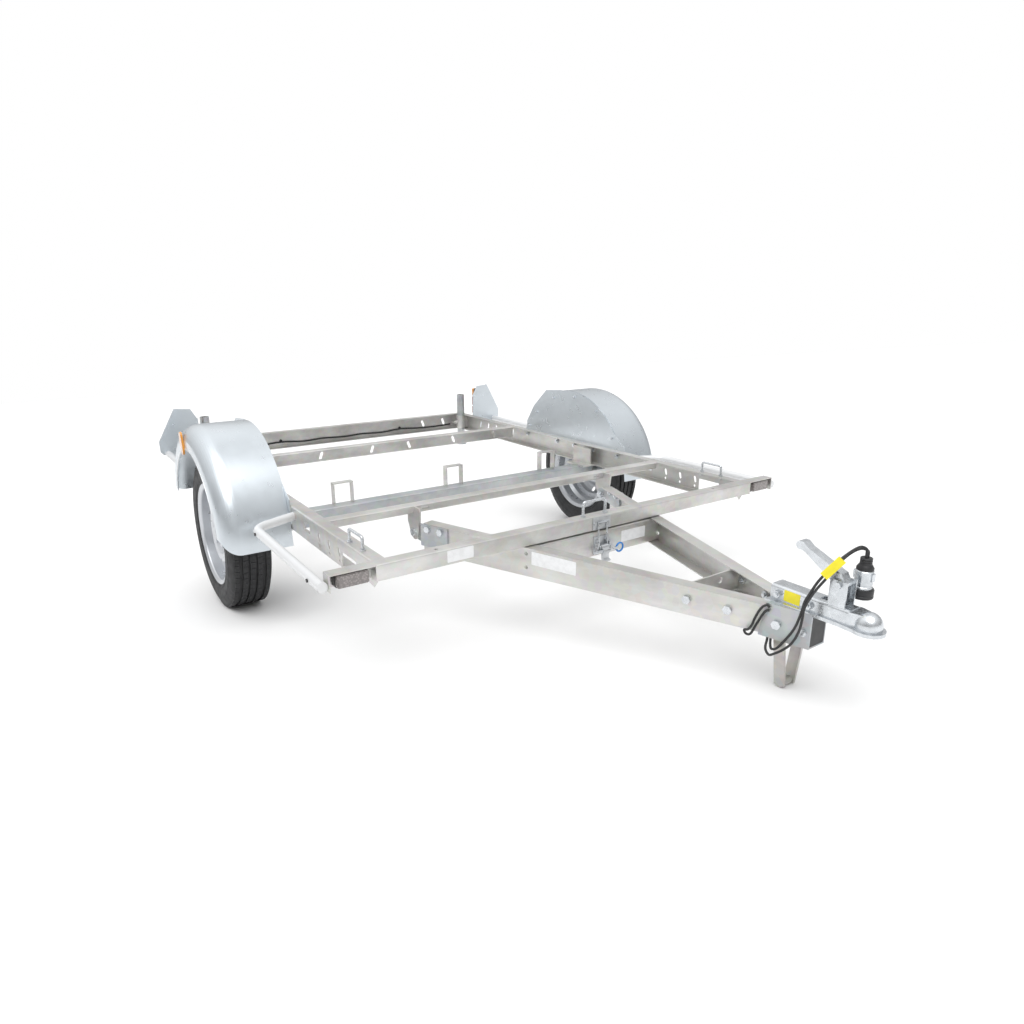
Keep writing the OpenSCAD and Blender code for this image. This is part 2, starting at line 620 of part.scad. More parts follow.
module rim_right() mirror([0, 1, 0]) rim();

tread_half = tyre_w / 2 - 12;
module tyre() color("#232426") wheel_place() rotate_extrude($fn = 144) difference() {
    bulge = tyre_w / 2;
    polygon([[rim_r - 13.7, half_rim - 6], [rim_r - 11.7, half_rim - 2.3], [rim_r + 1, half_rim + 4.2],
        [rim_r + 20, bulge - 2], [rim_r + 38, bulge], [tyre_r - 26, bulge - 2],
        [tyre_r - 12, tread_half + 7], [tyre_r - 3, tread_half], [tyre_r, tread_half - 10], [tyre_r, 0],
        [tyre_r, 10 - tread_half], [tyre_r - 3, -tread_half], [tyre_r - 12, -tread_half - 7],
        [tyre_r - 26, 2 - bulge], [rim_r + 38, -bulge], [rim_r + 20, 2 - bulge],
        [rim_r + 1, -half_rim - 4.1], [rim_r - 13.9, 2.4 - half_rim], [rim_r - 17.6, 6.2 - half_rim],
        [rim_r - 18.9, 22 - half_rim], [rim_r + 6, 14 - half_rim],
        [rim_r + 30, 14 - bulge], [tyre_r - 24, 16 - bulge], [tyre_r - 14, -30],
        [tyre_r - 14, 30], [tyre_r - 24, bulge - 16], [rim_r + 30, bulge - 14],
        [rim_r + 6, half_rim - 14], [rim_r - 14.7, half_rim - 22]]);
    for (y = [-36, -13, 13, 36]) translate([tyre_r - 6, y - 3]) square([12, 6]);
}
module tyre_left() tyre();
module tyre_right() mirror([0, 1, 0]) tyre();

module wheel_bolts() color("#d8dbdc") wheel_place()
    for (i = [1 : wheel_bolts_n]) rotate([0, 0, (i + 0.5) * 360 / wheel_bolts_n])
        translate([wheel_pcd / 2, 0, 0]) {
            translate([0, 0, face_y - 11]) cylinder(h = 18, r = 5.9);
            translate([0, 0, face_y + 3.4]) cylinder(h = 4, r = 9.6);
            translate([0, 0, face_y + 7.3]) hex_head(17, 9);
        }
module wheel_bolts_left() wheel_bolts();
module wheel_bolts_right() mirror([0, 1, 0]) wheel_bolts();

// Drawbar
beam_start = -380;
beam_stop = sleeve_x + 51;
module on_beam(x, z) translate([x, drawbar_y(x), z]) rotate([0, 0, -drawbar_angle]) children();
web_bolt_xs = [470, 570];
fish_bolt_xs = [bend_x + 35, bend_x + 86];
fish_z = beam_top - 16;
doubler_t = 5;
sleeve_bolt_x = sleeve_x + 31;
sleeve_bolt_step = 60;
sleeve_bolt_z = beam_top - drawbar_h / 2 + 6;
beam_drop = 10;
nose_h = drawbar_h - 17;
module drawbar_beam() color(galvanised) {
    l = (beam_stop - beam_start) / cos(drawbar_angle);
    t = steel_t;
    difference() {
        on_beam(beam_start, beam_top) difference() {
            rotate([90, 0, 0]) linear_extrude(flange_w)
                polygon([[0, 0], [l, 0], [l, -nose_h], [0, -drawbar_h - beam_drop]]);
            translate([0, -t, 0]) rotate([90, 0, 0]) linear_extrude(flange_w)
                polygon([[-1, -t], [l + 1, -t], [l + 1, t - nose_h], [-1, t - drawbar_h - beam_drop]]);
        }
        translate([400, -200, -300]) cube([500, 200.3, 400]);
        for (z = [-18, -60]) on_beam(2, beam_top + z) rotate([90, 0, 0])
            cylinder(h = 12, r = 6, center = true, $fn = 24);
        for (x = web_bolt_xs) on_beam(x, beam_top - 34) rotate([90, 0, 0])
            cylinder(h = 12, r = 6.2, center = true, $fn = 24);
        for (x = fish_bolt_xs) on_beam(x, fish_z) rotate([90, 0, 0])
            cylinder(h = 12, r = 6.2, center = true, $fn = 24);
        on_sleeve(sleeve_bolt_x, sleeve_bolt_z) cylinder(h = 60, r = 7, center = true, $fn = 24);
    }
}
module drawbar_beam_left() drawbar_beam();
module drawbar_beam_right() mirror([0, 1, 0]) drawbar_beam();

// Cross piece between the beams, just ahead of the bed
cross_x = -1;
module between_beams(x0, x1) linear_extrude(400, center = true) {
    a = drawbar_y(x0) - steel_t / cos(drawbar_angle);
    b = drawbar_y(x1) - steel_t / cos(drawbar_angle);
    polygon([[x0, -a], [x1, -b], [x1, b], [x0, a]]);
}
module drawbar_cross_piece() color(galvanised) intersection() {
    translate([cross_x, 0, beam_top - steel_t]) along_y(2 * drawbar_y(-60))
        mirror([1, 0]) channel_section(drawbar_h - steel_t - 3, flange_w, steel_t);
    between_beams(cross_x - flange_w, cross_x);
}

ear_l = 104;
module ear_plan(t) {
    a = ear_y;
    e = [bend_x + ear_l, drawbar_y(bend_x + ear_l) - steel_t / cos(drawbar_angle)];
    polygon([[-pivot_member_x - pivot_eye_r - 1, a], [bend_x, a], e, [e[0] - 2.05, e[1] - t],
        [bend_x - 1.05, a - t], [-pivot_member_x - pivot_eye_r - 1, a - t]]);
}
module pivot_ears() color("#aeb4b6") both_sides() difference() {
    union() {
        intersection() {
            translate([0, 0, pivot_z - 40]) linear_extrude(90) ear_plan(ear_t);
            along_y(2000) {
                translate([-pivot_member_x, pivot_z]) circle(pivot_eye_r - 1);
                translate([-pivot_member_x, pivot_z - pivot_eye_r + 1])
                    square([140, 2 * pivot_eye_r - 2]);
                translate([bend_x + 16, pivot_z]) square([140, beam_top - 6 - pivot_z]);
            }
        }
        on_beam(bend_x + 6, beam_top - 75) cube([113, doubler_t, 73]);
    }
    translate([-pivot_member_x, 0, pivot_z]) rotate([90, 0, 0])
        cylinder(h = 2000, r = pivot_r + run_gap, center = true);
    for (x = fish_bolt_xs) on_beam(x, fish_z) rotate([90, 0, 0])
        cylinder(h = 40, r = 6.2, center = true, $fn = 24);
}

plate_x = 445;
module nose_cross_plate() color(galvanised) difference() {
    intersection() {
        translate([plate_x, 0, beam_top - drawbar_h / 2 + 6])
            cube([5, 400, drawbar_h - 24], center = true);
        between_beams(plate_x - 20, plate_x + 20);
    }
    translate([plate_x, 40, beam_top - 26]) rotate([0, 90, 0]) cylinder(h = 20, r = 9, center = true);
}

// Sleeve: a box that narrows towards the front, with two lugs on top for the coupling head
sleeve_t = 4;
sleeve_low = sleeve_top - sleeve_h;
sleeve_end = sleeve_x + sleeve_l;
sleeve_angle = atan((sleeve_w - nose_w) / 2 / sleeve_l);
body_w = 48;
body_t = 4;
head_bolt_xs = [sleeve_x + 10, sleeve_x + 91];
head_bolt_z = sleeve_top + 18;
function sleeve_half(x) = sleeve_w / 2 - (x - sleeve_x) * tan(sleeve_angle);
module sleeve_plan(x0, x1, inset) polygon([[x0, inset - sleeve_half(x0)], [x1, inset - sleeve_half(x1)],
    [x1, sleeve_half(x1) - inset], [x0, sleeve_half(x0) - inset]]);
module on_sleeve(x, z) translate([x, sleeve_half(x), z]) rotate([90, 0, -sleeve_angle]) children();
module coupling_sleeve() color("#b9bfc2") difference() {
    union() {
        intersection() {
            difference() {
                translate([0, 0, sleeve_low]) linear_extrude(sleeve_h)
                    sleeve_plan(sleeve_x - 20, sleeve_end, 0);
                translate([0, 0, sleeve_low + sleeve_t]) linear_extrude(sleeve_h - 2 * sleeve_t)
                    sleeve_plan(sleeve_x - 21, sleeve_end + 1, sleeve_t);
            }
            along_y(2 * sleeve_w) polygon([[sleeve_x + 8, 0], [sleeve_end, 0], [sleeve_end, sleeve_low],
                [sleeve_x - 10, sleeve_low], [sleeve_x - 10, sleeve_low + 4]]);
        }
        both_sides() translate([sleeve_x - 5, body_w / 2 - body_t - 4.3, sleeve_top - 1])
            cube([sleeve_l + 1, 4, 30]);
    }
    both_sides() {
        translate([0, 0, beam_top - nose_h - 3]) linear_extrude(nose_h + 3.3)
            polygon([[sleeve_x - 40, drawbar_y(sleeve_x - 40) - flange_w],
                [sleeve_x + 3, nose_y - flange_w], [sleeve_x + 3, nose_y + 0.3],
                [sleeve_x - 40, drawbar_y(sleeve_x - 40) + 0.3]]);
        for (i = [0, 1]) on_sleeve(sleeve_bolt_x + i * sleeve_bolt_step, sleeve_bolt_z)
            cylinder(h = 20, r = 6.2, center = true);
    }
    for (x = head_bolt_xs) translate([x, 0, head_bolt_z]) rotate([90, 0, 0])
        cylinder(h = body_w, r = 5.3, center = true);
}

module sleeve_plug() color("#17181a") translate([0, 0, sleeve_low + sleeve_t + 0.3])
    linear_extrude(sleeve_h - 2 * sleeve_t - 0.6)
        sleeve_plan(sleeve_end - 5.5, sleeve_end - 0.5, sleeve_t + 0.3);

// Prop stand: two flat bars from under the sleeve down to a rounded foot
module prop_stand() color("#b7b3ab") {
    half = sleeve_half(foot_x);
    both_sides() translate([foot_x - 14, 0, 0]) along_x(28)
        polygon([[half - 9, sleeve_low], [half - 1, sleeve_low], [22, -stand_drop + 5],
            [15, -stand_drop + 5]]);
    translate([foot_x, 0, -stand_drop + foot_r]) rotate([90, 0, 0])
        cylinder(h = 44, r = foot_r, center = true);
}

module drawbar_bolts() color("#d4d7d8") {
    both_sides() {
        for (x = web_bolt_xs) on_beam(x, beam_top - 34) rotate([90, 0, 0]) bolt(12, steel_t);
        for (x = fish_bolt_xs) on_beam(x, fish_z) translate([0, doubler_t, 0]) rotate([90, 0, 0])
            bolt(12, doubler_t + steel_t + ear_t + 0.5);
        on_sleeve(sleeve_bolt_x, sleeve_bolt_z) bolt(12, 12);
        on_sleeve(sleeve_bolt_x + sleeve_bolt_step, sleeve_bolt_z) bolt(10, sleeve_t + 0.2);
    }
    translate([sleeve_end - 22, 0, sleeve_low - 8]) hex_head(19, 8);
}

// Coupling head with a socket for the ball, a locking pawl and a lever
hinge_x = 806;
hinge_z = 48;
channel_end = ball_x - 34;
module coupling_body() color("#dfe3e5") difference() {
    union() {
        translate([sleeve_x - 10, 0, sleeve_top]) along_x(channel_end - sleeve_x + 10) {
            translate([-body_w / 2, 0]) square([body_w, 20]);
            translate([-body_w / 2, 8]) rounded(body_w, 30, 8);
        }
        translate([0, 0, sleeve_top]) linear_extrude(36)
            polygon([[channel_end - 1, -24], [ball_x - 28, -24], [ball_x, -17], [ball_x, 17],
                [ball_x - 28, 24], [channel_end - 1, 24]]);
        translate([ball_x, 0, head_z]) sphere(dome_r, $fn = 64);
        translate([ball_x, 0, sleeve_top - 4]) cylinder(h = 4 - sleeve_top + head_z, r = dome_r - 0.4);
        translate([ball_x, 0, sleeve_top - 4]) cylinder(h = 8, r = skirt_r);
        translate([0, 0, sleeve_top]) linear_extrude(4)
            polygon([[sleeve_x - 10, -44], [sleeve_end, -31], [sleeve_end, 31], [sleeve_x - 10, 44]]);
        translate([0, 0, sleeve_top - 4]) linear_extrude(8)
            polygon([[sleeve_end + 0.3, -31], [ball_x - 54, -29], [ball_x - 14, -33],
                [ball_x - 14, 33], [ball_x - 54, 29], [sleeve_end + 0.3, 31]]);
        for (y = [-20, 16]) translate([hinge_x - 20, y, -3]) cube([40, 4, hinge_z + 13]);
    }
    translate([sleeve_x - 11, 0, sleeve_top - 5]) along_x(channel_end - sleeve_x + 11)
        translate([body_t - body_w / 2, -40]) rounded(body_w - 2 * body_t, 79, 5);
    translate([ball_x, 0, head_z]) sphere(ball_r, $fn = 96);
    translate([ball_x, 0, head_z - 60]) cylinder(h = 60, r = ball_r, $fn = 96);
    translate([ball_x - 60, -13, head_z - 30]) cube([60, 26, 34]);
    translate([hinge_x - 44, -10, -12]) cube([58, 20, 40]);
    translate([hinge_x, 0, hinge_z]) rotate([90, 0, 0]) cylinder(h = 60, r = 5.3, center = true);
    for (x = head_bolt_xs) translate([x, 0, head_bolt_z]) rotate([90, 0, 0])
        cylinder(h = 2 * body_w, r = 5.3, center = true);
}

module coupling_bolts() color("#d4d7d8") {
    for (x = head_bolt_xs) translate([x, body_w / 2, head_bolt_z]) rotate([90, 0, 0]) bolt(10, body_w);
    translate([hinge_x, 0, hinge_z]) rotate([90, 0, 0]) {
        cylinder(h = 42, r = 5, center = true);
        for (m = [0, 1]) mirror([0, 0, m]) translate([0, 0, 20]) hex_head(15, 6);
    }
}

module coupling_handle() color("#e2e5e6") difference() {
    union() {
        translate([hinge_x, 0, hinge_z]) rotate([90, 0, 0])
            cylinder(h = 32 - 2 * side_gap, r = 12, center = true);
        rotate([90, 0, 0]) translate([0, 0, -13]) linear_extrude(26) {
            polygon([[hinge_x - 6, hinge_z - 8], [hinge_x + 9, hinge_z + 8], [hinge_x, hinge_z + 24],
                [720, 108], [706, 119], [692, 116], [690, 106], [700, 100], [712, 97], [790, 46]]);
            translate([699, 109]) circle(10);
        }
        translate([hinge_x - 4, -8, hinge_z - 66]) cube([9, 16, 66]);
    }
    translate([hinge_x, 0, hinge_z]) rotate([90, 0, 0])
        cylinder(h = 60, r = 5 + run_gap, center = true);
    rotate([90, 0, 0]) translate([0, 0, -9]) linear_extrude(18)
        polygon([[784, 40], [790, 56], [724, 99], [700, 104], [704, 90]]);
}

module coupling_pawl() color("#8d9193") difference() {
    translate([ball_x - 52, -12.5, head_z - 16]) cube([36, 25, 19.5]);
    translate([ball_x, 0, head_z]) sphere(ball_r + 0.3, $fn = 96);
    translate([ball_x, 0, head_z - 60]) cylinder(h = 60, r = ball_r + 0.3, $fn = 96);
}

// Latch between the drawbar's cross piece and the bed's front beam
latch_y = 15;
latch_x = 14;
latch_z = -100;
module latch_base() color("#c8cccd") translate([cross_x, latch_y, 0]) {
    translate([0, -30, -124]) cube([4, 60, 58]);
    for (y = [-26, 21]) difference() {
        translate([0, y, -116]) cube([20, 5, 32]);
        translate([latch_x - cross_x, y - 1, latch_z]) rotate([-90, 0, 0]) cylinder(h = 7, r = 4);
    }
    translate([latch_x - cross_x, 0, latch_z]) rotate([90, 0, 0]) {
        cylinder(h = 56, r = 4, center = true);
        for (m = [0, 1]) mirror([0, 0, m]) translate([0, 0, 26.3]) hex_head(12, 5);
    }
    for (y = [-18, 18], z = [-72, -121]) translate([4 - eps, y, z]) rotate([0, 90, 0])
        hex_head(8, 3);
}
bail_x = 5.75;
bail_z = -19.5;
module latch_bail() color("#d9dcdd") translate([0, latch_y, 0]) {
    a = atan2(bail_x - latch_x, bail_z - latch_z);
    l = norm([bail_x - latch_x, bail_z - latch_z]);
    for (y = [-17, 17]) translate([latch_x, y, latch_z]) {
        rotate([90, 0, 0]) difference() {
            cylinder(h = 5, r = 8, center = true);
            cylinder(h = 7, r = 4 + run_gap, center = true);
        }
        rotate([0, a, 0]) translate([0, 0, 6]) cylinder(h = l - 6, r = 2.5);
    }
    translate([bail_x, 0, bail_z]) rotate([90, 0, 0]) cylinder(h = 39, r = 2.5, center = true);
}
pin_x = 12;
pin_z = -8;
module latch_lever() color("#b9bec0") translate([latch_x, latch_y, latch_z]) difference() {
    along_y(26) {
        circle(9);
        polygon([[-6, 0], [-2, 7], [12, 0], [18, -3], [20, -9], [17, -15], [13, -18], [13, -33],
            [22, -38], [19, -43], [8, -39], [4, -14]]);
    }
    rotate([90, 0, 0]) cylinder(h = 60, r = 4 + run_gap, center = true);
    translate([pin_x, 0, pin_z]) rotate([90, 0, 0]) cylinder(h = 60, r = 4 + run_gap, center = true);
}
module linch_pin() color("#cfd2d3") translate([latch_x + pin_x, latch_y, latch_z + pin_z]) {
    rotate([90, 0, 0]) cylinder(h = 100, r = 4, center = true);
    translate([0, 58, 0]) rotate([0, 90, 0]) rotate_extrude($fn = 60)
        translate([14, 0]) circle(2.6, $fn = 20);
    translate([0, 45.5, 0]) rotate([90, 0, 0]) cylinder(h = 6, r = 6, center = true);
}

// Parked plug beside the coupling head, with its holder
plug_x = 820;
plug_y = 55;
plug_z = 8;
module plug_holder() color("#c9ced0") {
    translate([plug_x - 50, 36, sleeve_top + 4]) cube([26, 4, plug_z + 14 - sleeve_top]);
    translate([plug_x - 50, 26, sleeve_top + 4]) cube([26, 12, 3]);
    translate([plug_x - 50, 36, plug_z + 14]) cube([24.7, 19, 4]);
}
module plug_body() color("#202022") translate([plug_x, plug_y, plug_z]) {
    cylinder(h = 22, r = 25);
    translate([0, 0, 21]) cylinder(h = 43, r = 20);
    translate([0, 0, 64]) cylinder(h = 8, r1 = 20, r2 = 14);
    translate([0, 0, 71]) cylinder(h = 22, r = 12.5);
    for (s = [-1, 1]) translate([s * 20 - 3, -6, 42]) cube([6, 12, 18]);
}
cable_top = plug_z + 93;
cable_low = sleeve_top - sleeve_h - 0.6;
cable_a = [[820, 52, cable_top], [820, 52, 112], [819, 51, 121], [812, 42, 126], [809, 24, 124],
    [803, 0, 113], [795, -22, 96], [782, -34, 72], [769, -42, 46], [761, -50, 21], [755, -57, 0],
    [752, -61, -28], [742, -64, -69], [722, -67, -108], [704, -66, -134], [688, -61, -143],
    [676, -49, -140], [672, -44, -132], [672, -44, cable_low]];
cable_b = [[820, 59, cable_top], [820, 60, 108], [817, 61, 115], [806, 52, 118], [801, 24, 113],
    [801, -14, 101], [787, -33, 65], [768, -48, 24], [757, -58, -13], [757, -62, -40], [755, -66, -71],
    [742, -68, -105], [724, -70, -128], [704, -71, -146], [686, -66, -158], [670, -58, -150],
    [664, -46, -134], [664, -45, cable_low]];
cable_c = [[668, -55.5, -47], [661, -58, -42], [652, -66, -52], [646, -76, -75], [642, -80, -95],
    [632, -79, -110], [621, -78, -116], [626, -77, -124], [638, -76, -120], [650, -75, -92],
    [657, -68, -70], [661, -60, -57], [668, -55.5, -54]];
module plug_cables() color("#1a1a1c") {
    cord(cable_a, 6, [0, 1, 0], 3, 8);
    cord(cable_b, 6, [0, 1, 0], 3, 8);
    cord(cable_c, 6, [1, 0, 0], 3, 8);
}
module cable_tag() color("#f2d913") translate([790, -27, 86]) rotate([-43, -9.7, -41.9])
    translate([6.2, -10, -27]) cube([1.5, 20, 54]);

grounded() front_beam();
grounded() rear_beam();
grounded() side_rail_left();
grounded() side_rail_right();
grounded() slotted_cross_member();
grounded() pivot_cross_member();
grounded() pivot_brackets();
grounded() pivot_bolts();
grounded() floor_supports();
grounded() axle_tube();
grounded() axle_brackets();
grounded() corner_lamp_brackets();
grounded() marker_lamps();
grounded() corner_gussets();
grounded() mudguard_left();
grounded() mudguard_right();
grounded() mudguard_plates();
grounded() frame_bolts();
grounded() side_guards();
grounded() rear_lamp_housings();
grounded() rear_lamps();
grounded() side_reflectors();
grounded() tie_down_loops();
grounded() latch_catch();
grounded() bed_harness();
grounded() rubber_plugs();
grounded() leg_clamps();
grounded() rear_leg_left();
grounded() rear_leg_right();
grounded() swing_arm_left();
grounded() swing_arm_right();
grounded() hub_left();
grounded() hub_right();
grounded() rim_left();
grounded() rim_right();
grounded() tyre_left();
grounded() tyre_right();
grounded() wheel_bolts_left();
grounded() wheel_bolts_right();
grounded() drawbar_beam_left();
grounded() drawbar_beam_right();
grounded() drawbar_cross_piece();
grounded() pivot_ears();
grounded() nose_cross_plate();
grounded() coupling_sleeve();
grounded() sleeve_plug();
grounded() prop_stand();
grounded() drawbar_bolts();
grounded() latch_base();
grounded() coupling_body();
grounded() coupling_bolts();
grounded() coupling_handle();
grounded() coupling_pawl();
grounded() latch_lever();
grounded() latch_bail();
grounded() linch_pin();
grounded() plug_holder();
grounded() plug_body();
grounded() plug_cables();
grounded() cable_tag();
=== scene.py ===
"""Looks of the tilting trailer chassis: finishes, cables, tyres, lamps, trim and stage."""

import math

import bmesh
import bpy
from mathutils import Matrix, Vector

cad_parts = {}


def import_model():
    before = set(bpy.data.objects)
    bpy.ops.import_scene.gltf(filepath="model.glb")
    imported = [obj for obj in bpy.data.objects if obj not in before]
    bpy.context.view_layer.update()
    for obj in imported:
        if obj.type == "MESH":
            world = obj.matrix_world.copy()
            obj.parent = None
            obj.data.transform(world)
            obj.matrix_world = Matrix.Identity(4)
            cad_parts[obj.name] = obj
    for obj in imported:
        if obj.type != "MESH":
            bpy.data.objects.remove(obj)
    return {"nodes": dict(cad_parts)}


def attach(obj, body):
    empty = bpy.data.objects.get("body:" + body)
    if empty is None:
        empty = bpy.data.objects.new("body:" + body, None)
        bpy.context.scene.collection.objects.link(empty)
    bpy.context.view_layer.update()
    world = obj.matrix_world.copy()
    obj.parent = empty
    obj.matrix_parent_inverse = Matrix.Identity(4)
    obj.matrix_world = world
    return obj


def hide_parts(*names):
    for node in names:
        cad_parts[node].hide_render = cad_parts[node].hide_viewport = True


bl_info = {
    "name": "Tilting trailer chassis",
    "version": (1, 0, 0),
    "blender": (4, 5, 0),
    "location": "View3D > Sidebar > Trailer",
    "description": "Dresses the trailer chassis and sets its stage",
    "category": "Object",
}

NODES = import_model()["nodes"]
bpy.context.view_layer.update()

# The chassis is measured level, in millimetres, from the front face of its bed. It stands with
# its nose down by PITCH, and LIFT and SHIFT carry it to its place on the floor.
PITCH = math.radians(5.924706)
LIFT = 326.3273
SHIFT = 573.0970

# Outer face of the side rails, middle of the left wheel, and radii of tyre and rim flange
RAIL_Y = 742.0
WHEEL = (-1025.0, 855.0, -163.0)
TYRE_R = 270.0
RIM_R = 184.0

# Both sides of the chassis: the sign of Y and the name
SIDES = ((1, "left"), (-1, "right"))

# Directions of the level chassis
AHEAD = (1, 0, 0)
LEFT = (0, 1, 0)
UP = (0, 0, 1)

LEVEL = Matrix.Identity(4)


def place(x, y, z):
    """A point of the level chassis, in millimetres, as a point of the scene, in metres."""
    c, s = math.cos(PITCH), math.sin(PITCH)
    return Vector(((x * c + z * s + SHIFT) / 1000, y / 1000, (-x * s + z * c + LIFT) / 1000))


def heading(x, y, z):
    """A direction of the level chassis, turned as the chassis stands."""
    c, s = math.cos(PITCH), math.sin(PITCH)
    return Vector((x * c + z * s, y, -x * s + z * c))


# ---- Finishes


class Recipe:
    """Builds one node material step by step."""

    def __init__(self, name):
        self.mat = bpy.data.materials.new(name)
        self.mat.use_nodes = True
        self.tree = self.mat.node_tree
        self.bsdf = self.tree.nodes["Principled BSDF"]
        self.coord = self.node("ShaderNodeTexCoord")

    def node(self, kind):
        return self.tree.nodes.new(kind)

    def link(self, a, b):
        self.tree.links.new(a, b)

    def stretch(self, scale):
        mapping = self.node("ShaderNodeMapping")
        mapping.inputs["Scale"].default_value = scale
        self.link(self.coord.outputs["Object"], mapping.inputs["Vector"])
        return mapping.outputs["Vector"]

    def noise(self, scale, detail=4.0, rough=0.55, stretch=(1, 1, 1)):
        made = self.node("ShaderNodeTexNoise")
        made.inputs["Scale"].default_value = scale
        made.inputs["Detail"].default_value = detail
        made.inputs["Roughness"].default_value = rough
        self.link(self.stretch(stretch), made.inputs["Vector"])
        return made.outputs["Fac"]

    def cells(self, scale, output="Color"):
        made = self.node("ShaderNodeTexVoronoi")
        made.inputs["Scale"].default_value = scale
        self.link(self.stretch((1, 1, 1)), made.inputs["Vector"])
        return made.outputs[output]

    def bands(self, scale):
        made = self.node("ShaderNodeTexWave")
        made.wave_type = "BANDS"
        made.bands_direction = "Y"
        made.inputs["Scale"].default_value = scale
        self.link(self.stretch((1, 1, 1)), made.inputs["Vector"])
        return made.outputs["Fac"]

    def grade(self, fac, stops):
        made = self.node("ShaderNodeValToRGB")
        ramp = made.color_ramp
        while len(ramp.elements) < len(stops):
            ramp.elements.new(0.5)
        for element, (pos, colour) in zip(ramp.elements, stops):
            element.position = pos
            element.color = (*colour, 1)
        self.link(fac, made.inputs["Fac"])
        return made.outputs["Color"]

    def span(self, fac, low, high, start=0.3, end=0.7):
        made = self.node("ShaderNodeMapRange")
        made.inputs["From Min"].default_value = start
        made.inputs["From Max"].default_value = end
        made.inputs["To Min"].default_value = low
        made.inputs["To Max"].default_value = high
        self.link(fac, made.inputs["Value"])
        return made.outputs["Result"]

    def mix(self, fac, a, b, mode="MIX"):
        made = self.node("ShaderNodeMix")
        made.data_type = "RGBA"
        made.blend_type = mode
        for socket, value in ((made.inputs[0], fac), (made.inputs[6], a), (made.inputs[7], b)):
            if isinstance(value, bpy.types.NodeSocket):
                self.link(value, socket)
            elif isinstance(value, (int, float)):
                socket.default_value = value
            else:
                socket.default_value = (*value, 1)
        return made.outputs[2]

    def colour(self, value):
        if isinstance(value, bpy.types.NodeSocket):
            self.link(value, self.bsdf.inputs["Base Color"])
        else:
            self.bsdf.inputs["Base Color"].default_value = (*value, 1)

    def rough(self, value):
        if isinstance(value, bpy.types.NodeSocket):
            self.link(value, self.bsdf.inputs["Roughness"])
        else:
            self.bsdf.inputs["Roughness"].default_value = value

    def metal(self, value):
        self.bsdf.inputs["Metallic"].default_value = value

    def coat(self, weight, rough):
        self.bsdf.inputs["Coat Weight"].default_value = weight
        self.bsdf.inputs["Coat Roughness"].default_value = rough

    def bumps(self, *layers):
        """Each layer is a height and its depth in metres, small ones first."""
        normal = None
        for height, depth in layers:
            made = self.node("ShaderNodeBump")
            made.inputs["Strength"].default_value = 1.0
            made.inputs["Distance"].default_value = depth
            self.link(height, made.inputs["Height"])
            if normal is not None:
                self.link(normal, made.inputs["Normal"])
            normal = made.outputs["Normal"]
        self.link(normal, self.bsdf.inputs["Normal"])


def galvanised_finish(name, dark, light, rough_low, rough_high):
    """Hot-dip zinc: soft spangle, drawn streaks and a little white bloom."""
    r = Recipe(name)
    crystal = r.cells(55.0)
    streak = r.noise(5.0, 5.0, 0.6, (0.35, 1.0, 2.2))
    bloom = r.noise(2.2, 3.0)
    tone = r.grade(streak, [(0.25, dark), (0.75, light)])
    tone = r.mix(0.10, tone, crystal, "SOFT_LIGHT")
    pale = tuple(min(1.0, c * 1.12) for c in light)
    tone = r.mix(r.span(bloom, 0.0, 0.35, 0.5, 0.75), tone, pale)
    r.colour(tone)
    r.metal(0.75)
    r.rough(r.span(r.noise(14.0, 3.0), rough_low, rough_high))
    r.bumps((r.noise(420.0, 2.0), 0.00004), (r.noise(16.0, 3.0), 0.0005))
    return r.mat


def plated_finish(name, colour, rough=0.24):
    """Bright zinc plate with fine handling marks."""
    r = Recipe(name)
    worn = tuple(c * 0.78 for c in colour)
    r.colour(r.grade(r.noise(38.0, 5.0, 0.65), [(0.28, worn), (0.62, colour)]))
    r.metal(0.95)
    r.rough(r.span(r.noise(90.0, 4.0), rough, rough + 0.16))
    r.bumps((r.noise(700.0, 2.0), 0.00002))
    return r.mat


def painted_finish(name, colour, metal, rough, coat=0.0):
    """Smooth paint with a slight orange peel and broad random patches a little darker than the
    paint.
    """
    r = Recipe(name)
    # A tone a tenth darker than the paint, laid in broad random patches.
    patch_tone = tuple(c * 0.9 for c in colour)
    r.colour(r.grade(r.noise(4.0, 4.0), [(0.3, patch_tone), (0.7, colour)]))
    r.metal(metal)
    r.rough(r.span(r.noise(30.0, 3.0), rough - 0.04, rough + 0.07))
    r.coat(coat, 0.2)
    r.bumps((r.noise(40.0, 2.0), 0.00004))
    return r.mat


def rubber_finish(name, colour, rough, dust):
    """Black rubber with a pale film in its pores."""
    r = Recipe(name)
    pale = tuple(c + dust for c in colour)
    r.colour(r.grade(r.noise(18.0, 6.0, 0.7), [(0.35, colour), (0.85, pale)]))
    r.rough(r.span(r.noise(60.0, 3.0), rough - 0.08, rough + 0.12))
    r.bumps((r.noise(900.0, 2.0), 0.00005))
    return r.mat


def plastic_finish(name, colour, rough=0.4):
    """Moulded plastic with a fine grain."""
    r = Recipe(name)
    faded = tuple(min(1.0, c * 1.25 + 0.008) for c in colour)
    r.colour(r.grade(r.noise(22.0, 4.0), [(0.35, colour), (0.8, faded)]))
    r.rough(r.span(r.noise(45.0, 3.0), rough - 0.06, rough + 0.08))
    r.bumps((r.noise(1200.0, 1.0), 0.00003))
    return r.mat


def lens_finish(name, colour):
    """A coloured lens over a bright reflector, ribbed on its inside."""
    r = Recipe(name)
    ribs = r.bands(35.0)
    deep = tuple(c * 0.72 for c in colour)
    r.colour(r.grade(ribs, [(0.2, deep), (0.8, colour)]))
    r.rough(0.1)
    r.coat(0.7, 0.04)
    r.bumps((ribs, 0.0003))
    return r.mat


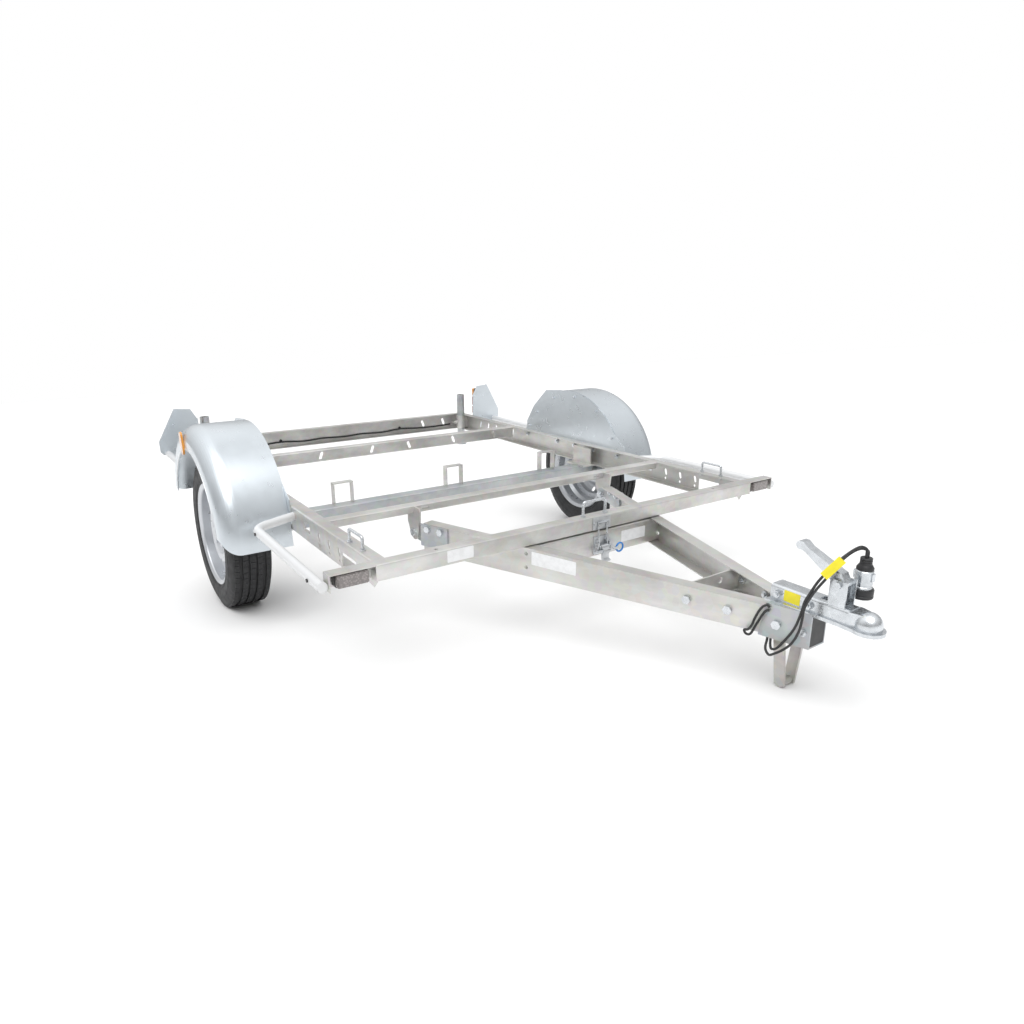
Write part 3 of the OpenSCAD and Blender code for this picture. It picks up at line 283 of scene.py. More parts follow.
def smoked_lens_finish(name, colour):
    """A clear lens over a dull reflector, pillowed on its inside."""
    r = Recipe(name)
    pillow = r.cells(170.0, "Distance")
    deep = tuple(c * 0.6 for c in colour)
    r.colour(r.grade(pillow, [(0.1, colour), (0.6, deep)]))
    r.rough(0.14)
    r.coat(0.6, 0.05)
    r.bumps((pillow, 0.0006))
    return r.mat


def label_finish(name, ground):
    """A bare label: thin film, slightly soiled."""
    r = Recipe(name)
    soiled = tuple(c * 0.9 for c in ground)
    r.colour(r.grade(r.noise(60.0, 4.0), [(0.3, soiled), (0.6, ground)]))
    r.rough(0.45)
    r.bumps((r.noise(150.0, 2.0), 0.00004))
    return r.mat


FINISH = {}


def make_finishes(sizes):
    FINISH["zinc"] = galvanised_finish(
        "galvanised_sheet", (0.44, 0.43, 0.41), tuple(sizes.zinc_colour), 0.34, 0.5)
    FINISH["zinc_dark"] = galvanised_finish(
        "galvanised_tube", (0.36, 0.38, 0.39), (0.60, 0.62, 0.63), 0.38, 0.52)
    FINISH["zinc_bar"] = galvanised_finish(
        "galvanised_bar", (0.40, 0.39, 0.37), (0.62, 0.61, 0.58), 0.4, 0.55)
    FINISH["plated"] = plated_finish("bright_zinc", (0.71, 0.74, 0.77), 0.2)
    FINISH["plated_dull"] = plated_finish("dull_zinc", (0.66, 0.68, 0.70), 0.36)
    FINISH["guard"] = painted_finish("mudguard_silver", tuple(sizes.guard_colour), 0.85, 0.3, 0.25)
    FINISH["tube"] = painted_finish("guard_tube_grey", (0.78, 0.79, 0.80), 0.25, 0.34)
    FINISH["rim"] = painted_finish("wheel_silver", (0.60, 0.62, 0.65), 0.65, 0.3, 0.3)
    FINISH["rubber"] = rubber_finish("cable_rubber", (0.018, 0.018, 0.019), 0.5, 0.03)
    FINISH["tyre"] = rubber_finish("tyre_rubber", (0.014, 0.0145, 0.016), 0.6, 0.025)
    FINISH["black"] = plastic_finish("black_plastic", (0.022, 0.022, 0.024))
    FINISH["clear"] = smoked_lens_finish("clear_lens", (0.34, 0.31, 0.30))
    FINISH["red"] = lens_finish("red_lens", (0.42, 0.02, 0.03))
    FINISH["amber"] = lens_finish("amber_lens", (0.86, 0.36, 0.06))
    FINISH["yellow"] = label_finish("yellow_tag", tuple(sizes.tag_colour))
    FINISH["white_label"] = label_finish("white_label", (0.86, 0.87, 0.88))
    # The mudguards' edge bead takes bright zinc, paler than the mudguard paint: a painted
    # highlight where light catches the rolled edge.
    FINISH["edge"] = plated_finish("rolled_edge_painted_highlight", (0.86, 0.88, 0.90), 0.3)
    FINISH["blue"] = plastic_finish("blue_pull_ring", (0.03, 0.20, 0.55), 0.35)


# ---- Shapes


def new_piece(name, mesh, body, finish, stands=()):
    """Links a mesh as a piece that rides on a body and takes a finish."""
    made = bpy.data.objects.new(name, mesh)
    bpy.context.scene.collection.objects.link(made)
    if finish is not None:
        mesh.materials.clear()
        mesh.materials.append(FINISH[finish])
    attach(made, body)
    if stands:
        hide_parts(*stands)
    return made


def to_mesh(name, bm, smooth_angle=35):
    """Closes a bmesh as a mesh with outward faces and sharp edges where it folds."""
    bmesh.ops.remove_doubles(bm, verts=bm.verts, dist=0.000005)
    bmesh.ops.recalc_face_normals(bm, faces=bm.faces)
    mesh = bpy.data.meshes.new(name)
    bm.to_mesh(mesh)
    bm.free()
    mesh.shade_smooth()
    mesh.set_sharp_from_angle(angle=math.radians(smooth_angle))
    return mesh


def lathe(bm, outline, turn, steps, closed=True):
    """Spins an outline of (radius, height) in millimetres about the turn matrix's Z axis."""
    rings = []
    for i in range(steps):
        a = 2 * math.pi * i / steps
        rings.append([
            bm.verts.new(turn @ Vector((r * math.cos(a) / 1000, r * math.sin(a) / 1000, h / 1000)))
            for r, h in outline])
    count = len(outline)
    for i in range(steps):
        a, b = rings[i], rings[(i + 1) % steps]
        for k in range(count if closed else count - 1):
            bm.faces.new([a[k], b[k], b[(k + 1) % count], a[(k + 1) % count]])
    if not closed:
        for k in (0, count - 1):
            if outline[k][0] > 0.01:
                bm.faces.new([ring[k] for ring in rings])


def prism(bm, outline, low, high, turn):
    """Extrudes a flat outline in millimetres between two heights of the turn matrix's Z axis."""
    rows = [[bm.verts.new(turn @ Vector((x / 1000, y / 1000, z / 1000))) for x, y in outline]
            for z in (low, high)]
    bm.faces.new(rows[0][::-1])
    bm.faces.new(rows[1])
    count = len(outline)
    for k in range(count):
        bm.faces.new([rows[0][k], rows[0][(k + 1) % count],
                      rows[1][(k + 1) % count], rows[1][k]])


def rounded(w, h, r, steps=5):
    """Outline of a rectangle with rounded corners, centred."""
    made = []
    for cx, cy, start in ((w / 2 - r, h / 2 - r, 0), (r - w / 2, h / 2 - r, 90),
                          (r - w / 2, r - h / 2, 180), (w / 2 - r, r - h / 2, 270)):
        for i in range(steps + 1):
            a = math.radians(start + 90 * i / steps)
            made.append((cx + r * math.cos(a), cy + r * math.sin(a)))
    return made


def slabs(turn, *layers):
    """Rounded slabs on one axis: width, height, corner radius, low and high face of each."""
    bm = bmesh.new()
    for w, h, r, low, high in layers:
        prism(bm, rounded(w, h, r), low, high, turn)
    return bm


def axes(origin, x, y, z):
    """A matrix that puts its X, Y and Z along three directions of the level chassis."""
    m = Matrix((heading(*x), heading(*y), heading(*z))).transposed().to_4x4()
    m.translation = place(*origin)
    return m


def mirrored(spot, side):
    """A spot of the left side, on the given side."""
    x, y, z = spot
    return x, side * y, z


def wheel_axes(side):
    """Z along the spindle, outwards, at the middle of the wheel."""
    return axes(mirrored(WHEEL, side), AHEAD, (0, 0, -side), (0, side, 0))


def dress(name, finish):
    """Gives a CAD node a finish."""
    mesh = NODES[name].data
    mesh.materials.clear()
    mesh.materials.append(FINISH[finish])


# ---- Geometry node trees


def start_tree(name, **inputs):
    """A geometry tree with a geometry input and output and the named inputs."""
    tree = bpy.data.node_groups.new(name, "GeometryNodeTree")
    tree.interface.new_socket("Geometry", in_out="INPUT", socket_type="NodeSocketGeometry")
    for label, kind in inputs.items():
        tree.interface.new_socket(label, in_out="INPUT", socket_type="NodeSocket" + kind)
    tree.interface.new_socket("Geometry", in_out="OUTPUT", socket_type="NodeSocketGeometry")
    return tree, tree.nodes.new("NodeGroupInput"), tree.nodes.new("NodeGroupOutput")


def wire(tree, *links):
    for start, end in links:
        tree.links.new(start, end)


def end_tree(tree, geometry, material, out):
    """Makes the instances real and gives them their material."""
    realize = tree.nodes.new("GeometryNodeRealizeInstances")
    paint = tree.nodes.new("GeometryNodeSetMaterial")
    wire(tree,
         (geometry, realize.inputs["Geometry"]),
         (realize.outputs["Geometry"], paint.inputs["Geometry"]),
         (material, paint.inputs["Material"]),
         (paint.outputs["Geometry"], out.inputs["Geometry"]))


def repeat_tree():
    """Puts a pattern object on each point, turned by the point's own 'turn' attribute."""
    tree, given, out = start_tree("repeat_on_points", Pattern="Object", Finish="Material")
    info = tree.nodes.new("GeometryNodeObjectInfo")
    turn = tree.nodes.new("GeometryNodeInputNamedAttribute")
    turn.data_type = "QUATERNION"
    turn.inputs["Name"].default_value = "turn"
    spread = tree.nodes.new("GeometryNodeInstanceOnPoints")
    wire(tree,
         (given.outputs["Pattern"], info.inputs["Object"]),
         (given.outputs["Geometry"], spread.inputs["Points"]),
         (info.outputs["Geometry"], spread.inputs["Instance"]),
         (turn.outputs["Attribute"], spread.inputs["Rotation"]))
    end_tree(tree, spread.outputs["Instances"], given.outputs["Finish"], out)
    return tree


def ring_tree():
    """Puts a pattern object evenly round a ring about Z, each turned to face outwards."""
    tree, given, out = start_tree("repeat_round_ring", Pattern="Object", Count="Int",
                                  Radius="Float", Finish="Material")
    info = tree.nodes.new("GeometryNodeObjectInfo")
    ring = tree.nodes.new("GeometryNodeMeshCircle")
    spot = tree.nodes.new("GeometryNodeInputPosition")
    align = tree.nodes.new("FunctionNodeAlignRotationToVector")
    align.axis = "X"
    align.pivot_axis = "Z"
    spread = tree.nodes.new("GeometryNodeInstanceOnPoints")
    wire(tree,
         (given.outputs["Pattern"], info.inputs["Object"]),
         (given.outputs["Count"], ring.inputs["Vertices"]),
         (given.outputs["Radius"], ring.inputs["Radius"]),
         (spot.outputs["Position"], align.inputs["Vector"]),
         (ring.outputs["Mesh"], spread.inputs["Points"]),
         (info.outputs["Geometry"], spread.inputs["Instance"]),
         (align.outputs["Rotation"], spread.inputs["Rotation"]))
    end_tree(tree, spread.outputs["Instances"], given.outputs["Finish"], out)
    return tree


def grow(name, tree, carrier, values):
    """Runs a tree on a carrier mesh and returns the result as a plain mesh."""
    holder = bpy.data.objects.new(name, carrier)
    bpy.context.scene.collection.objects.link(holder)
    modifier = holder.modifiers.new("grow", "NODES")
    modifier.node_group = tree
    for item in tree.interface.items_tree:
        if item.item_type == "SOCKET" and item.in_out == "INPUT" and item.name in values:
            modifier[item.identifier] = values[item.name]
    bpy.context.view_layer.update()
    deps = bpy.context.evaluated_depsgraph_get()
    mesh = bpy.data.meshes.new_from_object(holder.evaluated_get(deps))
    mesh.name = name
    bpy.data.objects.remove(holder)
    return mesh


def pattern(name, mesh):
    """A pattern object, linked to the scene, for the trees to repeat."""
    made = bpy.data.objects.new(name, mesh)
    bpy.context.scene.collection.objects.link(made)
    return made


def points_mesh(name, spots):
    """Points with a turn each: spots are matrices."""
    mesh = bpy.data.meshes.new(name)
    mesh.from_pydata([tuple(m.translation) for m in spots], [], [])
    turns = mesh.attributes.new("turn", "QUATERNION", "POINT")
    for item, m in zip(turns.data, spots):
        item.value = m.to_quaternion()
    return mesh


def repeat(name, shape, spots, finish):
    """One mesh with a copy of a shape on each spot."""
    hidden = pattern(name + "_pattern", shape)
    mesh = grow(name, repeat_tree(), points_mesh(name + "_points", spots),
                {"Pattern": hidden, "Finish": FINISH[finish]})
    bpy.data.objects.remove(hidden)
    mesh.shade_smooth()
    mesh.set_sharp_from_angle(angle=math.radians(35))
    return mesh


# ---- What a user may change


class TrailerSizes(bpy.types.PropertyGroup):
    zinc_colour: bpy.props.FloatVectorProperty(
        name="Zinc colour", description="Lighter tone of the galvanised sheet",
        subtype="COLOR", size=3, default=(0.76, 0.755, 0.735), min=0, max=1)
    guard_colour: bpy.props.FloatVectorProperty(
        name="Mudguard colour", description="Silver paint of the mudguards and lamp housings",
        subtype="COLOR", size=3, default=(0.66, 0.71, 0.75), min=0, max=1)
    tag_colour: bpy.props.FloatVectorProperty(
        name="Cable tag colour", description="Colour of the tag on the plug cables",
        subtype="COLOR", size=3, default=(0.90, 0.78, 0.03), min=0, max=1)
    tread_blocks: bpy.props.IntProperty(
        name="Tread blocks", description="Blocks round one row of the tread",
        default=72, min=40, max=96)
    cable_d: bpy.props.FloatProperty(
        name="Cable diameter", description="Diameter of the plug cables",
        subtype="DISTANCE", unit="LENGTH", default=0.006, min=0.004, max=0.008)


class TrailerStage(bpy.types.PropertyGroup):
    floor_tone: bpy.props.FloatProperty(
        name="Floor tone", description="Lightness of the floor", subtype="FACTOR",
        default=0.9, min=0.5, max=1.0)
    sky_strength: bpy.props.FloatProperty(
        name="Sky strength", description="Strength of the even light from all round",
        default=0.66, min=0.1, max=1.5)
    key_strength: bpy.props.FloatProperty(
        name="Key strength", description="Strength of the broad light from above",
        default=1.45, min=0.0, max=5.0)


# ---- Camera and cords

# The photograph's camera, fitted to the level chassis: turn, tilt, place and focal length
PHOTO_TURN = math.radians(145.026)
PHOTO_TILT = math.radians(16.689)
PHOTO_EYE = (1584.5, -1433.3, 649.0)
PHOTO_FOCAL = 715.24
PHOTO_WIDTH = 1024
SENSOR_WIDTH = 36


class TRAILER_OT_camera(bpy.types.Operator):
    """Sets the camera at the photograph's viewing angle"""
    bl_idname = "trailer.camera"
    bl_label = "Camera"

    def execute(self, context):
        flat = math.cos(PHOTO_TILT)
        look = Vector((flat * math.cos(PHOTO_TURN), flat * math.sin(PHOTO_TURN),
                       -math.sin(PHOTO_TILT)))
        right = look.cross(Vector((0, 0, 1))).normalized()
        up = right.cross(look)
        m = Matrix((heading(*right), heading(*up), heading(*(-look)))).transposed().to_4x4()
        m.translation = place(*PHOTO_EYE)
        data = bpy.data.cameras.new("photo_camera")
        data.sensor_width = SENSOR_WIDTH
        data.lens = PHOTO_FOCAL * SENSOR_WIDTH / PHOTO_WIDTH
        data.clip_start = 0.05
        data.clip_end = 60
        made = bpy.data.objects.new("photo_camera", data)
        made.matrix_world = m
        context.scene.collection.objects.link(made)
        context.scene.camera = made
        return {"FINISHED"}


# Routes of the cables: from the plug's gland, at PLUG_TOP, to the underside of the sleeve, a
# turn beside the sleeve, and the wiring along the rear beam
PLUG_TOP = 101
WIRING_D = 0.008
CABLE_A = [(820, 52, PLUG_TOP), (820, 52, 112), (819, 51, 121), (812, 42, 126), (809, 24, 124),
           (803, 0, 113), (795, -22, 96), (782, -34, 72), (769, -42, 46), (761, -50, 21),
           (755, -57, 0), (752, -61, -28), (742, -64, -69), (722, -67, -108), (704, -66, -134),
           (688, -61, -143), (676, -49, -140), (672, -44, -132), (672, -44, -124.6)]
CABLE_B = [(820, 59, PLUG_TOP), (820, 60, 108), (817, 61, 115), (806, 52, 118), (801, 24, 113),
           (801, -14, 101), (787, -33, 65), (768, -48, 24), (757, -58, -13), (757, -62, -40),
           (755, -66, -71), (742, -68, -105), (724, -70, -128), (704, -71, -146),
           (686, -66, -158), (670, -58, -150), (664, -46, -134), (664, -45, -124.6)]
CABLE_C = [(668, -55.5, -47), (661, -58, -42), (652, -66, -52), (646, -76, -75), (642, -80, -95),
           (632, -79, -110), (621, -78, -116), (626, -77, -124), (638, -76, -120),
           (650, -75, -92), (657, -68, -70), (661, -60, -57), (668, -55.5, -54)]
HARNESS = [(-2042.7, y, z) for y, z in (
    (-660, -62), (-560, -66), (-440, -64), (-335, -58), (-220, -66), (-110, -62), (0, -66),
    (110, -62), (220, -66), (335, -58), (440, -64), (560, -66), (660, -62))]


def smooth_path(points, steps=4):
    """A Catmull-Rom line through the points, in metres."""
    line = [place(*p) for p in points]
    made = []
    for i in range(len(line) - 1):
        a, b, c, d = (line[max(i - 1, 0)], line[i], line[i + 1], line[min(i + 2, len(line) - 1)])
        for k in range(steps):
            t = k / steps
            made.append(0.5 * (2 * b + (c - a) * t + (2 * a - 5 * b + 4 * c - d) * t * t
                               + (3 * b - a - 3 * c + d) * t ** 3))
    made.append(line[-1])
    return made


def cord_curve(name, path, diameter, finish):
    data = bpy.data.curves.new(name, "CURVE")
    data.dimensions = "3D"
    data.bevel_depth = diameter / 2
    data.bevel_resolution = 4
    data.use_fill_caps = True
    spline = data.splines.new("POLY")
    spline.points.add(len(path) - 1)
    for point, where in zip(spline.points, path):
        point.co = (*where, 1)
    data.materials.append(FINISH[finish])
    made = bpy.data.objects.new(name, data)
    bpy.context.scene.collection.objects.link(made)
    return made


class TRAILER_OT_cords(bpy.types.Operator):
    """Lays the plug cables and the thin wiring under the bed"""
    bl_idname = "trailer.cords"
    bl_label = "Cords"

    def execute(self, context):
        d = context.scene.trailer_sizes.cable_d
        for name, points, body, node, dia in (
                ("plug_cable_outer", CABLE_A, "drawbar", "plug_cables", d),
                ("plug_cable_inner", CABLE_B, "drawbar", "plug_cables", d),
                ("drawbar_cable", CABLE_C, "drawbar", "plug_cables", d),
                ("bed_wiring", HARNESS, "bed", "bed_harness", WIRING_D)):
            path = smooth_path(points)
            made = cord_curve(name, path, dia, "rubber")
            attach(made, body)
            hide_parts(node)
        return {"FINISHED"}


# ---- Finishes of the CAD nodes

NODE_FINISH = {
    "zinc": ["front_beam", "rear_beam", "side_rail_left", "side_rail_right",
             "slotted_cross_member", "pivot_cross_member", "pivot_brackets", "floor_supports",
             "axle_brackets", "corner_lamp_brackets", "corner_gussets", "leg_clamps",
             "drawbar_beam_left", "drawbar_beam_right", "drawbar_cross_piece",
             "nose_cross_plate"],
    "zinc_dark": ["coupling_sleeve", "axle_tube", "rear_leg_left", "rear_leg_right",
                  "swing_arm_left", "swing_arm_right", "pivot_ears"],
    "zinc_bar": ["prop_stand"],
    "plated": ["tie_down_loops", "coupling_body", "coupling_handle", "coupling_bolts",
               "linch_pin", "latch_bail", "frame_bolts", "pivot_bolts", "drawbar_bolts",
               "wheel_bolts_left", "wheel_bolts_right", "plug_holder"],
    "plated_dull": ["latch_base", "latch_catch", "latch_lever", "coupling_pawl", "hub_left",
                    "hub_right"],
    "guard": ["mudguard_left", "mudguard_right", "mudguard_plates", "rear_lamp_housings"],
    "tube": ["side_guards"],
    "rim": ["rim_left", "rim_right"],
    "tyre": ["tyre_left", "tyre_right"],
    "rubber": ["bed_harness", "rubber_plugs", "plug_cables"],
    "black": ["sleeve_plug", "plug_body"],
    "clear": ["marker_lamps"],
    "red": ["rear_lamps"],
    "amber": ["side_reflectors"],
    "yellow": ["cable_tag"],
}


class TRAILER_OT_finishes(bpy.types.Operator):
    """Makes the finishes and gives each CAD node its own"""
    bl_idname = "trailer.finishes"
    bl_label = "Finishes"

    def execute(self, context):
        make_finishes(context.scene.trailer_sizes)
        for finish, names in NODE_FINISH.items():
            for name in names:
                dress(name, finish)
        left_out = set(NODES) - {n for names in NODE_FINISH.values() for n in names}
        if left_out:
            raise RuntimeError(f"no finish for {sorted(left_out)}")
        return {"FINISHED"}


# ---- Tyres and wheels

# Rows of tread blocks: place across the tyre, width and lean
TREAD_ROWS = ((-52, 15, 8), (-24.5, 17, -8), (0, 18, 8), (24.5, 17, -8), (52, 15, 8))
TREAD_DEPTH = 6.8
TREAD_GAP = 0.9
SIPE = 0.25
ROW_STAGGER = 0.41

# Section of the valve stem and its place in the wheel, in metres
VALVE = [(0, 0), (9, 0), (9, 5), (6.2, 8), (5.6, 26), (6.8, 27), (6.8, 36), (5.6, 38), (0, 38)]
VALVE_SPOT = (0.1545, 0, 0.03)
VALVE_LEAN = 0.35


def tyre_outline():
    """Section of the carcass up to the floor of the tread grooves."""
    side = [(RIM_R - 17, 40), (RIM_R - 13.7, 56), (RIM_R - 11.7, 59.7), (RIM_R + 1, 66.2),
            (RIM_R + 6, 69), (RIM_R + 8, 69.6), (RIM_R + 9, 71.2), (RIM_R + 12, 71.4),
            (RIM_R + 13, 70.2), (RIM_R + 22, 72.2), (RIM_R + 33, 73), (RIM_R + 44, 72.8),
            (RIM_R + 45, 73.6), (RIM_R + 47, 73.6), (RIM_R + 48, 72.4), (TYRE_R - 28, 70.5),
            (TYRE_R - 18, 67), (TYRE_R - 10, 63.2), (TYRE_R - 6.5, 60), (TYRE_R - 6.8, 40),
            (TYRE_R - 6.6, 20), (TYRE_R - 6.5, 0)]
    mirror = [(r, -h) for r, h in side[-2::-1]]
    inner = [(RIM_R + 6, -52), (TYRE_R - 24, -58), (TYRE_R - 14, -30), (TYRE_R - 14, 30),
             (TYRE_R - 24, 58), (RIM_R + 6, 52)]
    return side + mirror + inner


def tread_block(width, lean, pitch):
    """One tread block with two sipes, centred at the tread's surface, outwards along X."""
    bm = bmesh.new()
    half = pitch / 2 - TREAD_GAP
    shift = lean * 0.16
    turn = Matrix(((0, 0, 1, 0), (1, 0, 0, 0), (0, 1, 0, 0), (0, 0, 0, 1)))
    for start, end in ((-half, -half / 3 - SIPE), (-half / 3 + SIPE, half / 3 - SIPE),
                       (half / 3 + SIPE, half)):
        outline = [(start - shift, -width / 2), (end - shift, -width / 2),
                   (end + shift, width / 2), (start + shift, width / 2)]
        prism(bm, outline, -TREAD_DEPTH, 0, turn)
    return to_mesh("tread_block", bm)


class TRAILER_OT_tyres(bpy.types.Operator):
    """Makes the tyres with their tread, and the small parts of the wheels"""
    bl_idname = "trailer.tyres"
    bl_label = "Tyres"

    def execute(self, context):
        count = context.scene.trailer_sizes.tread_blocks
        tree = ring_tree()
        for side, label in SIDES:
            turn = wheel_axes(side)
            bm = bmesh.new()
            lathe(bm, tyre_outline(), LEVEL, 144)
            pitch = 2 * math.pi * TYRE_R / count
            for row, (centre, width, lean) in enumerate(TREAD_ROWS):
                hidden = pattern("tread_block_row", tread_block(width, lean, pitch))
                empty = bpy.data.meshes.new("ring_seed")
                mesh = grow("tread_row", tree, empty, {
                    "Pattern": hidden, "Count": count, "Radius": TYRE_R / 1000 - 0.0008,
                    "Finish": FINISH["tyre"]})
                stagger = row * ROW_STAGGER * 2 * math.pi / count
                mesh.transform(Matrix.Translation((0, 0, centre / 1000))
                               @ Matrix.Rotation(stagger, 4, "Z"))
                bm.from_mesh(mesh)
                bpy.data.objects.remove(hidden)
            bmesh.ops.transform(bm, matrix=turn, verts=bm.verts)
            mesh = to_mesh("tyre_" + label, bm, 28)
            new_piece("tyre_dressed_" + label, mesh, "wheel_" + label, "tyre",
                      ["tyre_" + label])
            bm = bmesh.new()
            stem = turn @ Matrix.Translation(VALVE_SPOT) @ Matrix.Rotation(VALVE_LEAN, 4, "Y")
            lathe(bm, VALVE, stem, 20, False)
            new_piece("tyre_valve_" + label, to_mesh("tyre_valve", bm), "wheel_" + label,
                      "rubber")
        return {"FINISHED"}


# ---- Lamps

# Middle of the marker lamp's back, its width, height and corner radius, and the steps of its
# lens: low face, high face and inset
MARKER_SPOT = (-35, RAIL_Y + 64, -23.5)
MARKER = (90, 40, 9)
MARKER_STEPS = ((19, 31, 2), (31, 34, 3.2), (34, 36, 5.4))

# The rear lamp: middle of its back, lenses (middle, height, finish, slot) and their steps
REAR_LAMP_SPOT = (-1920, RAIL_Y + 54, 75)
REAR_LENSES = (("upper", 50, 44, "amber", "lens_amber"), ("middle", 0, 53, "red", "lens_red"),
               ("lower", -50, 44, "red", "lens_red"))
REAR_STEPS = ((20.8, 40, 0), (40, 43, 1.2), (43, 44.8, 3.4))


class TRAILER_OT_lamps(bpy.types.Operator):
    """Makes the marker lamps and the rear lamps"""
    bl_idname = "trailer.lamps"
    bl_label = "Lamps"

    def execute(self, context):
        for side, label in SIDES:
            across = (0, side, 0)
            turn = axes(mirrored(MARKER_SPOT, side), across, UP, AHEAD)
            w, h, r = MARKER
            new_piece("marker_gasket_" + label,
                      to_mesh("marker_gasket", slabs(turn, (w, h, r, 0, 20))),
                      "bed", "black", ["marker_lamps"])
            lens = slabs(turn, *[(w - 2 * inset, h - 2 * inset, r - inset, low, high)
                                 for low, high, inset in MARKER_STEPS])
            new_piece("marker_lens_" + label, to_mesh("marker_lens", lens, 50), "bed",
                      "clear", ["marker_lamps"])
            turn = axes(mirrored(REAR_LAMP_SPOT, side), across, UP, (-1, 0, 0))
            tray = slabs(turn, (68, 150, 10, 0, 18), (65, 147, 9, 18, 21))
            new_piece("rear_lamp_tray_" + label, to_mesh("rear_lamp_tray", tray), "bed",
                      "black", ["rear_lamps"])
            for part, centre, high, finish, slot in REAR_LENSES:
                here = turn @ Matrix.Translation((0, centre / 1000, 0))
                lens = slabs(here, *[(63 - 2 * inset, high - 2 * inset, 6 - inset, low, top)
                                     for low, top, inset in REAR_STEPS])
                new_piece("rear_lens_" + part + "_" + label, to_mesh("rear_lens", lens, 50), "bed",
                          finish, ["rear_lamps"])
        return {"FINISHED"}


# The parked plug's place and its parts: name, finish, slot and section
PLUG_SPOT = (820, 55, 8)
PLUG_SHAPES = (
    ("plug_cap", "black", "black_plastic",
     [(0, 0), (23.6, 0), (25, 1.4), (25, 6), (24.2, 7), (24.2, 9), (25, 10), (25, 19.5),
      (23.5, 22), (0, 22)]),
    ("plug_shell", "plated", "bright_zinc",
     [(0, 21.6), (20, 21.6), (20, 27), (19, 28), (19, 31), (20, 32), (20, 58), (19.4, 60),
      (19.4, 63), (17.5, 65.5), (0, 65.5)]),
    ("plug_gland", "black", "black_plastic",
     [(0, 65), (18.6, 65), (18.6, 70), (15, 76), (13, 79), (13, 82), (11.8, 83), (13, 84),
      (13, 87), (11.8, 88), (13, 89), (13, 92), (12, 93), (0, 93)]))

# The lock pin's pull ring: place, radius and half its thickness
RING_SPOT = (26, 73, -108)
RING_R = 14
RING_WIRE = 3


class TRAILER_OT_plug(bpy.types.Operator):
    """Makes the parked plug with its cap, shell and gland, and the blue pull ring"""
    bl_idname = "trailer.plug"
    bl_label = "Plug"

    def execute(self, context):
        turn = axes(PLUG_SPOT, AHEAD, LEFT, UP)
        for name, finish, slot, outline in PLUG_SHAPES:
            bm = bmesh.new()
            lathe(bm, outline, turn, 48, False)
            if name == "plug_shell":
                for side in (-1, 1):
                    tab = turn @ Matrix.Translation((side * 0.0205, 0, 0.051))
                    prism(bm, rounded(5, 12, 1.5), -9, 9, tab)
            new_piece(name, to_mesh(name, bm), "drawbar", finish, ["plug_body"])
        bm = bmesh.new()
        turn = axes(RING_SPOT, LEFT, UP, AHEAD)
        ring = [(RING_R + RING_WIRE * math.cos(math.radians(30 * k)),
                 RING_WIRE * math.sin(math.radians(30 * k))) for k in range(12)]
        lathe(bm, ring, turn, 60)
        new_piece("latch_pull_ring", to_mesh("latch_pull_ring", bm), "lock_pin",
                  "blue")
        return {"FINISHED"}


# ---- Fasteners, edges and labels


def hex_nut_shape(across, height, stud):
    """A chamfered hexagon with a washer under it and the end of its stud above."""
    bm = bmesh.new()
    r = across / math.sqrt(3)
    ring = [(r * math.cos(math.radians(60 * k)), r * math.sin(math.radians(60 * k)))
            for k in range(6)]
    washer = 1.4
    edge = washer + height * 0.82
    lathe(bm, [(0, 0), (across * 0.68, 0), (across * 0.68, washer), (0, washer)], LEVEL, 28, False)
    prism(bm, ring, washer, edge, LEVEL)
    prism(bm, [(x * 0.9, y * 0.9) for x, y in ring], edge, washer + height, LEVEL)
    lathe(bm, [(0, height), (stud, height), (stud, height + 4.5), (stud * 0.8, height + 5.5),
               (0, height + 5.5)], LEVEL, 20, False)
    return to_mesh("hex_nut", bm)


# The web of the right-hand drawbar beam, seen from outside: its run and its outward direction
BEAM_SLOPE = math.radians(19)
BEAM_RUN = (math.cos(BEAM_SLOPE), math.sin(BEAM_SLOPE), 0)
BEAM_OUT = (math.sin(BEAM_SLOPE), -math.cos(BEAM_SLOPE), 0)
BEAM_LABEL_X = 91
BEAM_LABEL_Y = -(51 + (655 - BEAM_LABEL_X) * math.tan(BEAM_SLOPE))

# Bare labels: body, finish, middle, run, outward direction, width and height
LABELS = (
    ("front_beam_label", "bed", "white_label", (0.35, -496, -21), LEFT, AHEAD, 83, 34),
    ("cross_piece_label", "drawbar", "white_label", (-0.65, 157, -87), LEFT, AHEAD, 105, 37),
    ("coupling_label", "drawbar", "yellow", (702, -24.1, -18), AHEAD, (0, -1, 0), 42, 27),
    ("beam_label", "drawbar", "white_label",
     (BEAM_LABEL_X + BEAM_OUT[0] * 0.35, BEAM_LABEL_Y + BEAM_OUT[1] * 0.35, -75),
     BEAM_RUN, BEAM_OUT, 150, 40),
)

# Mudguards: middle of the arch, their inner side, the bright bead on the rolled edge that paints
# its highlight (radius, distance outwards, half its thickness, ends in degrees), and the circle
# and angles of the inner plate's nuts
GUARD_X = -1045
GUARD_IN = RAIL_Y + 3.3
EDGE = (307.5, 216.2, 2.4, 14, 158)
NUT_R = 366
NUT_ANGLES = (35, 60, 85, 110, 135, 150)


def arc_tube(bm, radius, high, thick, start, end, turn):
    """A round bead that follows an arc about the turn matrix's Z axis."""
    steps = 90
    rings = []
    for i in range(steps + 1):
        a = math.radians(start + (end - start) * i / steps)
        ring = []
        for k in range(8):
            b = math.radians(45 * k)
            r = radius + thick * math.cos(b)
            ring.append(bm.verts.new(turn @ Vector((
                r * math.cos(a) / 1000, r * math.sin(a) / 1000,
                (high + thick * math.sin(b)) / 1000))))
        rings.append(ring)
    for a, b in zip(rings, rings[1:]):
        for k in range(8):
            bm.faces.new([a[k], b[k], b[(k + 1) % 8], a[(k + 1) % 8]])
    bm.faces.new(rings[0][::-1])
    bm.faces.new(rings[-1])


